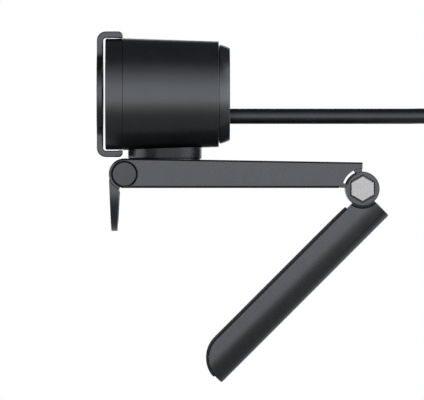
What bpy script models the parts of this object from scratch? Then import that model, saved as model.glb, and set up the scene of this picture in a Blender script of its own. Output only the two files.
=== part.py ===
"""A small barrel webcam on a folding monitor clip.

Sizes are in millimetres, and MM turns them into metres where a mesh is made. The camera looks
along -Y, +Z is up and X runs across. The origin is on the underside of the arm's rubber pad,
straight below the head's swivel axis.
"""

import math

import bmesh
import bpy

MM = 0.001
QUARTER = math.radians(90)

# ---- driving dimensions ---------------------------------------------------------------------

HALF_WIDTH = 10.5               # arm, lip and leg, to each side of the middle
FIT = 0.1                       # gap between pieces that touch
PIN_R = 1.5                     # pins and bolts of both hinges and the swivel
HOLE_R = 1.6

# Arm, as (Y, Z) in its side view
PIVOT = (-10.05, 3.45)          # front hinge
HINGE = (49.25, -0.2)           # rear hinge
ARM_END_R = 3.9
ARM_SLOPE = 0.95                # degrees that the arm's top falls towards the rear
ARM_UNDERSIDE = 0.45
LIP_REAR = -11.35               # rear face of the lip at its top, and front of the arm's underside
PAD_TOP = 1.15
PAD_REAR = 43.5
PAD_HALF_WIDTH = 9.0
DISC_R = 3.3                    # round ends of the front pin
DISC_RECESS_R = 3.5
DISC_FACE = 10.2

# Rear hinge
EAR_R = 4.26
EAR_TRIMMED_R = 3.95
EAR_CLEARANCE_R = 5.0           # arm and leg stay outside this circle
EAR_INNER = 6.6                 # X where the ears begin
KNUCKLE_R = 4.3
KNUCKLE_HALF_WIDTH = 6.0
SLOT = (113.0, 163.0)           # degrees, anticlockwise from +Y
BOLT_FLATS = 5.7
NUT_FLATS = 5.5
HEX_RECESS = 8.4                # X of the hex recess's floor

# Leg, in its own frame: local Y is outwards, local -Z runs down its length
LEG_TILT = -45.0
LEG_LENGTH = 59.4
LEG_INNER = 0.18                # the pad's face, from the plane through the hinge
LEG_DEPTH = 9.38
LEG_FLAT_SIDE = 3.48
LEG_ROUND_R = 5.9
LEG_PAD_START = 6.2
LEG_PAD_THICK = 0.6
LEG_TIP_R = 7.0

# Lip
LIP_TIP_FRONT = -13.35
LIP_TIP_REAR = -11.85
LIP_TONGUE_R = 10.5
LIP_TONGUE_Z = -0.25
LIP_CLEARANCE_R = 4.0
LIP_KNUCKLE_HALF_WIDTH = 6.3
LIP_SIDE_TOP = 1.3              # the lip's sides stop this far below the pivot
LIP_KNUCKLE_FLAT = 3.3          # the knuckle's flat underside is this far below the pivot

# Barrel: Y along it, radius from its axis
BARREL_Z = 23.45
BARREL_FRONT = -14.85
RING_REAR = -10.55
SHELL_FRONT = -10.45
SHELL_REAR = 13.48
BARREL_R = 14.0                 # the shell's front edge; it narrows towards the rear
RING_R = 13.88
SHELL_REAR_R = 13.22
CAP_R = 12.39
CAP_CROWN = 0.85
CAP_FACE = 16.28
BARREL_SIDES = 48

# Pedestal and swivel
PEDESTAL_R = 9.12
PEDESTAL_BASE = 7.4
PEDESTAL_TOP = 9.59
NECK_R = 4.0
BOSS_R = 8.3
BOSS_TOP = 7.3
SEAT_Z = 12.1                   # flat seats inside the shell's floor
PEDESTAL_SCREW_Y = 6.45

# Boards
BOARD_SCREW_X = 9.2
SENSOR_BOARD = (-1.9, -0.9)
MAIN_BOARD = (6.0, 7.0)

# Privacy cover, as (Y, Z) in its side view
COVER_FRONT = -17.02
COVER_REAR = -10.53
COVER_TOP = 39.1
COVER_BOTTOM = 7.72
COVER_THICK = 1.6
COVER_DISC_R = 9.8
COVER_TAB_HALF_WIDTH = 3.5
COVER_NUB = 0.1

# Cable, hank and plug
CABLE_R = 1.925
CABLE_Z = 17.93
CABLE_ROUTE = [
    (12.0, 17.93), (22.0, 17.93), (32.0, 17.93), (42.0, 17.93), (52.0, 17.93), (60.0, 17.93),
    (67.0, 17.9), (76.0, 16.9), (86.0, 12.6), (94.5, 5.2), (100.4, -4.6), (103.2, -14.7),
]
HANK_Y = 118.6
HANK_RUN_R = 15.4               # centreline radius of the outer turns' round ends
HANK_OUTER_R = HANK_RUN_R + CABLE_R
HANK_INNER_R = HANK_RUN_R - 3 * CABLE_R
HANK_TOP = -26.0                # Z of the upper round end's centre
HANK_STRAIGHT = 41.6
HANK_X = (-13.48, 1.93)         # four cables side by side
PLUG_X = (2.25, 10.15)
PLUG_Y = 127.2                  # the plug lies on the hank's outer run
PLUG_HALF_WIDTH = 7.85
PLUG_Z = (-46.0, -20.0)
PLUG_METAL_Z = (-19.9, -8.0)
TIE_Z = (-37.0, -31.0)
TIE_THICK = 1.0


# ---- scene ----------------------------------------------------------------------------------

for old in list(bpy.data.objects):
    bpy.data.objects.remove(old, do_unlink=True)

PARTS = bpy.data.collections.new("webcam_on_monitor_clip")
CUTTERS = bpy.data.collections.new("cutters")
for collection in (PARTS, CUTTERS):
    bpy.context.scene.collection.children.link(collection)


def axis_empty(name, at, tilt=0.0):
    """An empty on a joint's axis, which the pieces that move with it are parented to."""
    empty = bpy.data.objects.new(name, None)
    empty.location = [value * MM for value in at]
    empty.rotation_euler = (math.radians(tilt), 0.0, 0.0)
    PARTS.objects.link(empty)
    return empty


HEAD_AXIS = axis_empty("head_axis", (0.0, 0.0, 0.0))
LIP_AXIS = axis_empty("lip_axis", (0.0, *PIVOT))
LEG_AXIS = axis_empty("leg_axis", (0.0, *HINGE), LEG_TILT)
COVER_AXIS = axis_empty("cover_axis", (0.0, 0.0, BARREL_Z))
COVER_AXIS.parent = HEAD_AXIS


# ---- shapes ---------------------------------------------------------------------------------

TURNS = {
    "X": (0.0, QUARTER, 0.0),
    "Y": (-QUARTER, 0.0, 0.0),
    "Z": (0.0, 0.0, 0.0),
}
PLANES = {
    "YZ": (QUARTER, 0.0, QUARTER),
    "XZ": (QUARTER, 0.0, 0.0),
    "XY": (0.0, 0.0, 0.0),
}


def material(name, colour, roughness, metallic=0.0, alpha=1.0):
    made = bpy.data.materials.new(name)
    made.use_nodes = True
    shader = made.node_tree.nodes["Principled BSDF"]
    shader.inputs["Base Color"].default_value = (*colour, 1.0)
    shader.inputs["Roughness"].default_value = roughness
    shader.inputs["Metallic"].default_value = metallic
    shader.inputs["Alpha"].default_value = alpha
    return made


def new_object(name, data, cutter=False):
    made = bpy.data.objects.new(name, data)
    if cutter:
        CUTTERS.objects.link(made)
        made.hide_render = True
        made.display_type = "WIRE"
    else:
        PARTS.objects.link(made)
    return made


def from_bmesh(name, bm, cutter):
    mesh = bpy.data.meshes.new(name)
    bm.to_mesh(mesh)
    bm.free()
    return new_object(name, mesh, cutter)


def cylinder(name, radius, span, axis="X", at=(0.0, 0.0), sides=24, turn=0.0, cutter=False):
    """A cylinder over a span of one axis; at is its place on the other two, in X, Y, Z order."""
    bm = bmesh.new()
    length = span[1] - span[0]
    bmesh.ops.create_cone(
        bm, cap_ends=True, segments=sides, radius1=radius * MM, radius2=radius * MM,
        depth=length * MM,
    )
    made = from_bmesh(name, bm, cutter)
    place = list(at)
    place.insert("XYZ".index(axis), (span[0] + span[1]) / 2)
    made.location = [value * MM for value in place]
    made.rotation_euler = TURNS[axis]
    made.rotation_euler.rotate_axis("Z", math.radians(turn))
    return made


def hexagon(name, flats, span, axis="X", at=(0.0, 0.0), turn=0.0, cutter=False):
    """A hexagonal prism, given by its width across flats."""
    return cylinder(name, flats / math.sqrt(3), span, axis, at, 6, turn, cutter)


def box(name, low, high, cutter=False):
    bm = bmesh.new()
    bmesh.ops.create_cube(bm, size=1.0)
    size = [b - a for a, b in zip(low, high)]
    bmesh.ops.scale(bm, vec=[value * MM for value in size], verts=bm.verts)
    made = from_bmesh(name, bm, cutter)
    made.location = [(a + b) / 2 * MM for a, b in zip(low, high)]
    return made


def arc(centre, radius, start, end, steps):
    """Points on an arc, with its angles in degrees."""
    points = []
    for i in range(steps + 1):
        angle = math.radians(start + (end - start) * i / steps)
        points.append((centre[0] + radius * math.cos(angle), centre[1] + radius * math.sin(angle)))
    return points


def turned(name, profile, axis="Y", at=(0.0, BARREL_Z), sides=BARREL_SIDES, ring=True):
    """A turned piece. The profile's (radius, place along the axis) run down its outer side, and
    back up the inner side of a ring; a piece that isn't a ring starts and ends on the axis."""
    mesh = bpy.data.meshes.new(name)
    edges = [(i, i + 1) for i in range(len(profile) - 1)]
    if ring:
        edges.append((len(profile) - 1, 0))
    mesh.from_pydata([(r * MM, 0.0, s * MM) for r, s in profile], edges, [])
    made = new_object(name, mesh)
    place = list(at)
    place.insert("XYZ".index(axis), 0.0)
    made.location = [value * MM for value in place]
    made.rotation_euler = TURNS[axis]
    screw = made.modifiers.new("turn", "SCREW")
    screw.steps = sides
    screw.render_steps = sides
    screw.use_merge_vertices = True
    screw.merge_threshold = 1e-6
    return made


def outline(name, points, span, plane="YZ", holes=(), cutter=False):
    """A flat outline in a plane, as thick as the span across it."""
    curve = bpy.data.curves.new(name, "CURVE")
    curve.dimensions = "2D"
    curve.fill_mode = "BOTH"
    curve.extrude = (span[1] - span[0]) / 2 * MM
    curve.render_resolution_u = 0
    for ring in (points, *holes):
        spline = curve.splines.new("POLY")
        spline.points.add(len(ring) - 1)
        for point, (a, b) in zip(spline.points, ring):
            point.co = (a * MM, b * MM, 0.0, 1.0)
        spline.use_cyclic_u = True
    made = new_object(name, curve, cutter)
    middle = (span[0] + span[1]) / 2 * MM
    made.location = {"YZ": (middle, 0, 0), "XZ": (0, middle, 0), "XY": (0, 0, middle)}[plane]
    made.rotation_euler = PLANES[plane]
    return made


def meshed(curve_object):
    """A curve object made a mesh with its caps welded, so that it can be cut or can cut."""
    bpy.context.view_layer.update()
    graph = bpy.context.evaluated_depsgraph_get()
    mesh = bpy.data.meshes.new_from_object(curve_object.evaluated_get(graph))
    bm = bmesh.new()
    bm.from_mesh(mesh)
    bmesh.ops.remove_doubles(bm, verts=bm.verts, dist=1e-7)
    bmesh.ops.recalc_face_normals(bm, faces=bm.faces)
    bm.to_mesh(mesh)
    bm.free()
    name = curve_object.name
    place = curve_object.matrix_world.copy()
    cutter = curve_object.hide_render
    bpy.data.objects.remove(curve_object, do_unlink=True)
    made = new_object(name, mesh, cutter)
    made.name = name
    made.matrix_world = place
    return made


def plate(name, points, span, plane="YZ", cutter=False):
    return meshed(outline(name, points, span, plane, cutter=cutter))


def combine(target, tool, operation="DIFFERENCE"):
    step = target.modifiers.new(tool.name, "BOOLEAN")
    step.operation = operation
    step.object = tool
    return target


def in_frame(frame, *objects):
    """Objects whose place is given in a tilted frame's own coordinates."""
    for item in objects:
        item.parent = frame
    return objects[0]


def attach(frame, finish, *objects):
    """Parents finished pieces to their joint's empty where they are, and gives each its material."""
    bpy.context.view_layer.update()
    for item in objects:
        if frame is not None and item.parent is None:
            item.parent = frame
            item.matrix_parent_inverse = frame.matrix_world.inverted()
        item.data.materials.clear()
        item.data.materials.append(material(item.name, *finish))
        if item.type == "MESH":
            item.data.shade_smooth()
            item.data.set_sharp_from_angle(angle=math.radians(35))


# ---- finishes: colour, roughness, metallic, alpha -------------------------------------------

BLACK_PLASTIC = ((0.030, 0.031, 0.034), 0.48)
SATIN_PLASTIC = ((0.026, 0.027, 0.030), 0.30)
RUBBER = ((0.010, 0.010, 0.011), 0.80)
STEEL = ((0.46, 0.46, 0.47), 0.32, 1.0)
DARK_STEEL = ((0.09, 0.09, 0.09), 0.40, 0.8)
BRASS = ((0.60, 0.42, 0.16), 0.30, 1.0)
CLEAR_GLASS = ((0.05, 0.05, 0.06), 0.05, 0.0, 0.35)
BOARD = ((0.01, 0.07, 0.03), 0.50)
CHIP = ((0.015, 0.015, 0.016), 0.60)
CREAM = ((0.55, 0.53, 0.46), 0.50)
LED = ((0.70, 0.75, 0.72), 0.30)
CABLE = ((0.018, 0.018, 0.020), 0.40)


# ---- clip arm -------------------------------------------------------------------------------

def sector(name, inner, outer, start, end, span):
    """A piece of ring about the rear hinge."""
    points = arc(HINGE, outer, start, end, 6) + arc(HINGE, inner, end, start, 6)
    return plate(name, points, span, cutter=True)


def arm_side():
    rise = (HINGE[0] - PIVOT[0]) * math.tan(math.radians(ARM_SLOPE))
    lip_angle = math.degrees(math.acos((LIP_REAR - PIVOT[0]) / ARM_END_R))
    under_angle = 180 - math.degrees(math.asin((ARM_UNDERSIDE - HINGE[1]) / EAR_CLEARANCE_R))
    points = [(HINGE[0], PIVOT[1] + ARM_END_R - rise)]
    points += arc(PIVOT, ARM_END_R, 90 - ARM_SLOPE, 360 - lip_angle, 24)
    points.append((LIP_REAR, ARM_UNDERSIDE))
    points += arc(HINGE, EAR_CLEARANCE_R, under_angle, 90, 14)
    return points


def clip_arm():
    arm = plate("clip_arm", arm_side(), (-HALF_WIDTH, HALF_WIDTH))
    combine(arm, cylinder("boss", BOSS_R, (4.0, BOSS_TOP), "Z", sides=36, cutter=True), "UNION")
    middle = (-EAR_INNER - 0.3, EAR_INNER + 0.3)
    combine(arm, cylinder("knuckle_room", 5.15, middle, at=HINGE, sides=36, cutter=True))
    combine(arm, cylinder("lip_room", 4.2, (-6.5, 6.5), at=PIVOT, sides=36, cutter=True))
    for side, sign in (("left", -1), ("right", 1)):
        span = sorted((sign * EAR_INNER, sign * HALF_WIDTH))
        ear = arc(HINGE, EAR_R, SLOT[1], SLOT[0] + 360, 30)
        ear += arc(HINGE, EAR_TRIMMED_R, SLOT[0], SLOT[1], 8)
        combine(arm, plate(f"ear_{side}", ear, span, cutter=True), "UNION")
        neck = sorted((sign * (EAR_INNER + 0.7), sign * (HALF_WIDTH - 0.3)))
        combine(arm, sector(f"upper_neck_{side}", 3.8, 5.5, 91, SLOT[0] - 0.5, neck), "UNION")
        combine(arm, sector(f"lower_neck_{side}", 4.1, 5.5, SLOT[1] + 0.5, 177, neck), "UNION")
        recess = sorted((sign * 9.4, sign * 12))
        disc = cylinder(f"disc_recess_{side}", DISC_RECESS_R, recess, at=PIVOT, sides=36, cutter=True)
        combine(arm, disc)
        hollow = sorted((sign * HEX_RECESS, sign * 12))
        flats = BOLT_FLATS + 0.5
        combine(arm, hexagon(f"hex_recess_{side}", flats, hollow, at=HINGE, turn=90, cutter=True))
    through = (-12.0, 12.0)
    combine(arm, cylinder("pin_hole", HOLE_R, through, at=PIVOT, cutter=True))
    combine(arm, cylinder("bolt_hole", HOLE_R, through, at=HINGE, cutter=True))
    pocket = PAD_HALF_WIDTH + FIT
    combine(arm, box("pad_pocket", (-pocket, -11.0, -2.0), (pocket, PAD_REAR + FIT, PAD_TOP + FIT), True))
    combine(arm, cylinder("insert_hole", 4.85, (0.0, 5.6), "Z", (0.0, 26.0), cutter=True))
    combine(arm, cylinder("washer_recess", 6.1, (6.7, 9.0), "Z", cutter=True))
    combine(arm, cylinder("swivel_hole", HOLE_R, (-2.0, 9.0), "Z", cutter=True))
    combine(arm, cylinder("swivel_counterbore", 3.2, (-2.0, 3.2), "Z", cutter=True))
    attach(None, BLACK_PLASTIC, arm)


def arm_fittings():
    pad = box("arm_pad", (-PAD_HALF_WIDTH, -10.9, 0.0), (PAD_HALF_WIDTH, PAD_REAR, PAD_TOP))
    combine(pad, box("pad_notch", (-6.7, -13.0, -1.0), (6.7, -5.6, 3.0), True))
    combine(pad, cylinder("pad_hole", 5.0, (-1.0, 3.0), "Z", (0.0, 26.0), cutter=True))
    insert = turned(
        "tripod_insert", [(4.75, 5.5), (4.75, 0.45), (2.6, 0.45), (2.6, 5.5)],
        "Z", (0.0, 26.0), 24,
    )
    pin = turned(
        "front_hinge_pin",
        [(0.0, DISC_FACE), (3.15, DISC_FACE), (DISC_R, DISC_FACE - 0.15), (DISC_R, 9.5),
         (PIN_R, 9.5), (PIN_R, -9.85), (0.0, -9.85)],
        "X", PIVOT, 36, ring=False,
    )
    cap = turned(
        "front_hinge_cap",
        [(0.0, -9.9), (1.56, -9.9), (1.56, -9.5), (DISC_R, -9.5), (DISC_R, 0.15 - DISC_FACE),
         (3.15, -DISC_FACE), (0.0, -DISC_FACE)],
        "X", PIVOT, 36, ring=False,
    )
    attach(None, RUBBER, pad)
    attach(None, BRASS, insert)
    attach(None, BLACK_PLASTIC, pin, cap)


def rear_hinge_fittings():
    bolt = hexagon("hinge_bolt", BOLT_FLATS, (HEX_RECESS + FIT, 10.55), at=HINGE, turn=90)
    shaft = cylinder("bolt_shaft", PIN_R, (-10.0, HEX_RECESS + 1), at=HINGE, cutter=True)
    combine(bolt, shaft, "UNION")
    nut = hexagon("hinge_nut", NUT_FLATS, (-10.4, -HEX_RECESS - FIT), at=HINGE, turn=90)
    combine(nut, cylinder("nut_bore", 1.56, (-12.0, -8.0), at=HINGE, cutter=True))
    washers = []
    for side, sign in (("left", -1), ("right", 1)):
        low, high = sorted((sign * 6.08, sign * 6.52))
        ring = [(3.6, high), (3.6, low), (1.65, low), (1.65, high)]
        washers.append(turned(f"hinge_washer_{side}", ring, "X", HINGE, 24))
    attach(None, STEEL, bolt, nut)
    attach(None, DARK_STEEL, *washers)


def swivel_fittings():
    bolt = turned(
        "swivel_bolt",
        [(0.0, 15.3), (1.2, 15.3), (PIN_R, 15.0), (PIN_R, 3.1), (2.9, 3.1), (2.9, 1.9),
         (2.5, 1.5), (0.0, 1.5)],
        "Z", (0.0, 0.0), 24, ring=False,
    )
    low, high = SEAT_Z + FIT, SEAT_Z + 0.6
    spring = turned(
        "swivel_spring_washer", [(3.0, high), (3.0, low), (1.65, low), (1.65, high)],
        "Z", (0.0, 0.0), 32,
    )
    nut = hexagon("swivel_nut", NUT_FLATS, (SEAT_Z + 0.7, SEAT_Z + 2.8), "Z")
    combine(nut, cylinder("swivel_nut_bore", 1.56, (11.0, 16.0), "Z", cutter=True))
    friction = turned(
        "swivel_friction_washer", [(6.0, 7.3), (6.0, 6.8), (1.65, 6.8), (1.65, 7.3)],
        "Z", (0.0, 0.0), 32,
    )
    attach(None, STEEL, bolt, spring, nut)
    attach(None, RUBBER, friction)


# ---- lip ------------------------------------------------------------------------------------

def tongue(name, radius, top, span, cutter=True):
    """The lip's front view: a round end, with straight sides above its centre."""
    drop = math.degrees(math.asin(max(0.0, LIP_TONGUE_Z - top) / radius))
    points = arc((0.0, LIP_TONGUE_Z), radius, 180 + drop, 360 - drop, 32)
    if top > LIP_TONGUE_Z:
        points += [(radius, top), (-radius, top)]
    return plate(name, points, span, "XZ", cutter)


def lip_layer(name, depth_in, depth_out, radius, top, cutter=False):
    """A layer along the lip's sloping rear face, between two depths measured from that face."""
    low, high = -12.0, 0.4
    slope = (LIP_TIP_REAR - LIP_REAR) / (-11.1 - 0.15)

    def face(z):
        return LIP_REAR + (z - 0.15) * slope

    points = [(face(low) - depth_in, low), (face(low) + depth_out, low),
              (face(high) + depth_out, high), (face(high) - depth_in, high)]
    layer = plate(name, points, (-12.0, 12.0), cutter=cutter)
    combine(layer, tongue(f"{name}_edge", radius, top, (-16.0, -8.0)), "INTERSECT")
    return layer


def front_lip():
    flat_z = PIVOT[1] - LIP_KNUCKLE_FLAT
    flat_angle = math.degrees(math.asin(LIP_KNUCKLE_FLAT / ARM_END_R))
    side = [(LIP_TIP_REAR, -11.4), (LIP_REAR, flat_z)]
    side += arc(PIVOT, ARM_END_R, -flat_angle, 180, 28)
    side.append((LIP_TIP_FRONT, -11.4))
    lip = plate("front_lip", side, (-12.0, 12.0))
    combine(lip, tongue("lip_edge", LIP_TONGUE_R, 9.0, (-16.0, -4.0)), "INTERSECT")
    top_angle = math.degrees(math.asin(LIP_SIDE_TOP / LIP_CLEARANCE_R))
    top = PIVOT[1] - LIP_SIDE_TOP
    above = [(-20.0, top)] + arc(PIVOT, LIP_CLEARANCE_R, 180 + top_angle, 350, 16)
    above += [(-2.0, 4.0), (-2.0, 9.0), (-20.0, 9.0)]
    for side_name, sign in (("left", -1), ("right", 1)):
        span = sorted((sign * LIP_KNUCKLE_HALF_WIDTH, sign * 13))
        combine(lip, plate(f"lip_side_{side_name}", above, span, cutter=True))
    combine(lip, cylinder("lip_bore", 1.56, (-8.0, 8.0), at=PIVOT, cutter=True))
    combine(lip, lip_layer("lip_pocket", 0.55, 3.0, 8.7, -0.8, cutter=True))
    attach(LIP_AXIS, BLACK_PLASTIC, lip)


def lip_pad():
    attach(LIP_AXIS, RUBBER, lip_layer("lip_pad", 0.45, 0.08, 8.6, -0.9))


# ---- leg, built hanging straight down in its own frame and tilted by its empty ---------------

def rear_leg():
    thick = LEG_PAD_THICK + FIT
    tip = (LEG_INNER + LEG_TIP_R, LEG_TIP_R - LEG_LENGTH)
    step = tip[0] + FIT
    side = [(LEG_DEPTH, 0.0), (LEG_INNER + thick, 0.0)]
    side += arc(tip, LEG_TIP_R - thick, 180, 270, 12)
    side += [(step, thick - LEG_LENGTH), (step, -LEG_LENGTH), (LEG_DEPTH, -LEG_LENGTH)]
    leg = plate("rear_leg", side, (-12.0, 12.0))
    middle = HALF_WIDTH - LEG_ROUND_R
    section = [(-HALF_WIDTH, -1.0), (HALF_WIDTH, -1.0)]
    section += arc((middle, LEG_FLAT_SIDE), LEG_ROUND_R, 0, 90, 12)
    section += arc((-middle, LEG_FLAT_SIDE), LEG_ROUND_R, 90, 180, 12)
    blank = plate("leg_section", section, (-LEG_LENGTH - 2, 2.0), "XY", cutter=True)
    combine(leg, blank, "INTERSECT")
    knuckle = cylinder("leg_knuckle", KNUCKLE_R, (-6.3, 6.3), sides=36, cutter=True)
    combine(leg, knuckle, "UNION")
    tools = [blank, knuckle]
    for side_name, sign in (("left", -1), ("right", 1)):
        span = sorted((sign * KNUCKLE_HALF_WIDTH, sign * 13))
        room = cylinder(f"ear_room_{side_name}", EAR_CLEARANCE_R, span, sides=48, cutter=True)
        combine(leg, room)
        tools.append(room)
    bore = cylinder("leg_bore", 1.56, (-8.0, 8.0), cutter=True)
    combine(leg, bore)
    in_frame(LEG_AXIS, leg, bore, *tools)
    attach(None, BLACK_PLASTIC, leg)


def leg_pad():
    tip = (LEG_INNER + LEG_TIP_R, LEG_TIP_R - LEG_LENGTH)
    points = [(LEG_INNER, -LEG_PAD_START)] + arc(tip, LEG_TIP_R, 180, 270, 12)
    points += arc(tip, LEG_TIP_R - LEG_PAD_THICK, 270, 180, 12)
    points += [(LEG_INNER + LEG_PAD_THICK, -LEG_PAD_START)]
    width = HALF_WIDTH - 0.2
    pad = in_frame(LEG_AXIS, plate("leg_pad", points, (-width, width)))
    attach(None, RUBBER, pad)


# ---- head: pedestal and barrel --------------------------------------------------------------

def barrel_r(y):
    """The main shell's outer radius at a place along it."""
    share = (y - SHELL_FRONT) / (SHELL_REAR - SHELL_FRONT)
    return BARREL_R + (SHELL_REAR_R - BARREL_R) * share


def swivel_pedestal():
    pedestal = cylinder("swivel_pedestal", PEDESTAL_R, (PEDESTAL_BASE, 14.0), "Z", sides=48)
    above = box("above_pedestal", (-12.0, -12.0, PEDESTAL_TOP), (12.0, 12.0, PEDESTAL_TOP + 8), True)
    above.rotation_euler = (math.atan2(BARREL_R - SHELL_REAR_R, SHELL_REAR - SHELL_FRONT), 0.0, 0.0)
    combine(above, cylinder("neck", NECK_R, (5.0, 25.0), "Z", cutter=True))
    combine(pedestal, above)
    room = turned(
        "barrel_room",
        [(0.0, 20.0), (barrel_r(20.0) + FIT, 20.0), (barrel_r(-20.0) + FIT, -20.0), (0.0, -20.0)],
        ring=False,
    )
    PARTS.objects.unlink(room)
    CUTTERS.objects.link(room)
    room.hide_render = True
    room.display_type = "WIRE"
    combine(pedestal, room)
    combine(pedestal, cylinder("pedestal_bore", HOLE_R, (5.0, 16.0), "Z", cutter=True))
    for place, sign in (("front", -1), ("rear", 1)):
        at = (0.0, sign * PEDESTAL_SCREW_Y)
        combine(pedestal, cylinder(f"pedestal_pilot_{place}", 1.0, (8.1, 12.0), "Z", at, 16, cutter=True))
    attach(HEAD_AXIS, SATIN_PLASTIC, pedestal)


def main_shell():
    shell = turned("main_shell", [
        (SHELL_REAR_R - 0.15, SHELL_REAR), (SHELL_REAR_R, SHELL_REAR - 0.15),
        (BARREL_R, SHELL_FRONT + 0.1), (BARREL_R - 0.1, SHELL_FRONT),
        (12.3, SHELL_FRONT), (11.6, SHELL_REAR),
    ])
    for side, sign in (("left", -1), ("right", 1)):
        low, high = sorted((sign * 6.9, sign * 12.4))
        boss = box(f"board_boss_{side}", (low, -0.75, BARREL_Z - 2), (high, 5.85, BARREL_Z + 2), True)
        combine(shell, boss, "UNION")
        at = (sign * BOARD_SCREW_X, BARREL_Z)
        combine(shell, cylinder(f"boss_hole_{side}", 1.0, (-2.0, 7.0), "Y", at, 16, cutter=True))
    seats = (("middle", 0.0, 3.7, HOLE_R), ("front", -PEDESTAL_SCREW_Y, 2.1, 1.05),
             ("rear", PEDESTAL_SCREW_Y, 2.1, 1.05))
    for place, y, seat_r, hole_r in seats:
        at = (0.0, y)
        seat = cylinder(f"seat_{place}", seat_r, (11.0, SEAT_Z), "Z", at, 24, cutter=True)
        combine(shell, seat, "UNION")
        combine(shell, cylinder(f"floor_hole_{place}", hole_r, (8.0, 13.0), "Z", at, 24, cutter=True))
    attach(HEAD_AXIS, BLACK_PLASTIC, shell)


def barrel_ends():
    ring = turned("front_ring", [
        (RING_R - 0.1, RING_REAR), (RING_R, RING_REAR - 0.1), (RING_R, BARREL_FRONT + 0.25),
        (RING_R - 0.25, BARREL_FRONT), (12.35, BARREL_FRONT), (12.35, -13.3), (10.9, -13.3),
        (10.9, -9.2), (12.1, -9.2), (12.1, RING_REAR),
    ])
    glass = turned("front_glass", [
        (0.0, -13.4), (12.2, -13.4), (12.2, -14.5), (12.1, -14.6), (0.0, -14.6),
    ], ring=False)
    crowned = [(CAP_R - CAP_CROWN * (i / 4) ** 2, 13.6 + (CAP_FACE - 13.6) * i / 4)
               for i in range(4, -1, -1)]
    cap = turned("rear_cap", [(0.0, CAP_FACE)] + crowned + [
        (11.4, 13.6), (11.4, 10.5), (10.2, 10.5), (10.2, 14.7), (0.0, 14.7),
    ], ring=False)
    combine(cap, cylinder("cable_hole", 2.25, (13.0, 18.0), "Y", (0.0, CABLE_Z), 24, cutter=True))
    attach(HEAD_AXIS, BLACK_PLASTIC, ring, cap)
    attach(HEAD_AXIS, CLEAR_GLASS, glass)


# ---- head: optics and electronics -----------------------------------------------------------

def optics():
    barrel = turned("lens_barrel", [
        (5.0, -4.5), (5.0, -8.6), (6.8, -8.6), (6.8, -12.7), (6.6, -12.9), (5.7, -12.9),
        (5.2, -12.3), (5.2, -10.9), (3.4, -10.9), (3.4, -4.5),
    ], sides=32)
    front = turned("lens_front_element", [
        (0.0, -11.0), (5.0, -11.0), (5.0, -11.5), (4.2, -11.95), (3.0, -12.3), (1.5, -12.5),
        (0.0, -12.55),
    ], sides=32, ring=False)
    rear = cylinder("lens_rear_element", 3.25, (-6.2, -4.9), "Y", (0.0, BARREL_Z))
    holder = turned("lens_holder", [
        (7.5, -2.05), (7.5, -3.6), (6.4, -3.9), (6.4, -8.4), (5.1, -8.4), (5.1, -2.05),
    ], sides=32)
    infrared = box("infrared_filter", (-3.2, -3.9, BARREL_Z - 3.2), (3.2, -3.5, BARREL_Z + 3.2))
    sensor = box("image_sensor", (-3.5, -2.75, BARREL_Z - 2.9), (3.5, -2.05, BARREL_Z + 2.9))
    attach(HEAD_AXIS, DARK_STEEL, barrel)
    attach(HEAD_AXIS, CLEAR_GLASS, front, rear, infrared)
    attach(HEAD_AXIS, CHIP, holder, sensor)


def round_board(name, radius, flat_z, span):
    """A round board with a flat lower edge and a hole for each of its two screws."""
    drop = math.degrees(math.asin((BARREL_Z - flat_z) / radius))
    edge = arc((0.0, BARREL_Z), radius, -drop, 180 + drop, 28)
    holes = []
    for sign in (-1, 1):
        holes.append(arc((sign * BOARD_SCREW_X, BARREL_Z), 1.05, 0, 330, 11))
    return outline(name, edge, span, "XZ", holes)


def board_screw(name, x, head, tip):
    """A pan-head screw along Y, with its head's outer face at head."""
    step = 1.1 if tip > head else -1.1
    seat = head + step
    profile = [(0.0, tip), (0.9, tip), (0.9, seat), (1.55, seat), (1.55, head), (0.0, head)]
    if tip < head:
        profile.reverse()
    return turned(name, profile, "Y", (x, BARREL_Z), 16, ring=False)


def electronics():
    sensor_board = round_board("sensor_board", 11.0, 16.2, SENSOR_BOARD)
    main_board = round_board("main_board", 10.6, 14.2, MAIN_BOARD)
    ring = [arc((0.0, BARREL_Z), radius, 0, 350, 35) for radius in (10.6, 7.2)]
    microphone_board = outline("microphone_board", ring[0], (-11.6, -10.8), "XZ", ring[1:])
    connector = box("board_connector", (-5.0, -0.75, 27.5), (5.0, 5.85, 30.0))
    processor = box("image_processor", (-4.5, 7.15, 21.0), (4.5, 8.2, 30.0))
    socket = box("cable_socket", (-4.0, 7.15, 16.0), (4.0, 10.2, 19.6))
    microphones = []
    for side, low in (("left", -10.1), ("right", 7.9)):
        corner = (low, -12.6, BARREL_Z - 1.5)
        microphones.append(box(f"microphone_{side}", corner, (low + 2.2, -11.75, BARREL_Z + 1.5)))
    light = box("status_light", (-0.8, -12.4, BARREL_Z + 8.2), (0.8, -11.75, BARREL_Z + 9.8))
    screws = []
    for side, x in (("left", -BOARD_SCREW_X), ("right", BOARD_SCREW_X)):
        screws.append(board_screw(f"sensor_board_screw_{side}", x, SENSOR_BOARD[0] - 1.2, 1.8))
        screws.append(board_screw(f"main_board_screw_{side}", x, MAIN_BOARD[1] + 1.2, 3.2))
    for place, y in (("front", -PEDESTAL_SCREW_Y), ("rear", PEDESTAL_SCREW_Y)):
        top = SEAT_Z + FIT
        screws.append(turned(f"pedestal_screw_{place}", [
            (0.0, top + 1.1), (1.8, top + 1.1), (1.8, top), (0.9, top), (0.9, 8.2), (0.0, 8.2),
        ], "Z", (0.0, y), 16, ring=False))
    attach(HEAD_AXIS, BOARD, sensor_board, main_board, microphone_board)
    attach(HEAD_AXIS, CHIP, connector, processor)
    attach(HEAD_AXIS, CREAM, socket)
    attach(HEAD_AXIS, STEEL, *microphones, *screws)
    attach(HEAD_AXIS, LED, light)


# ---- privacy cover --------------------------------------------------------------------------

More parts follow.
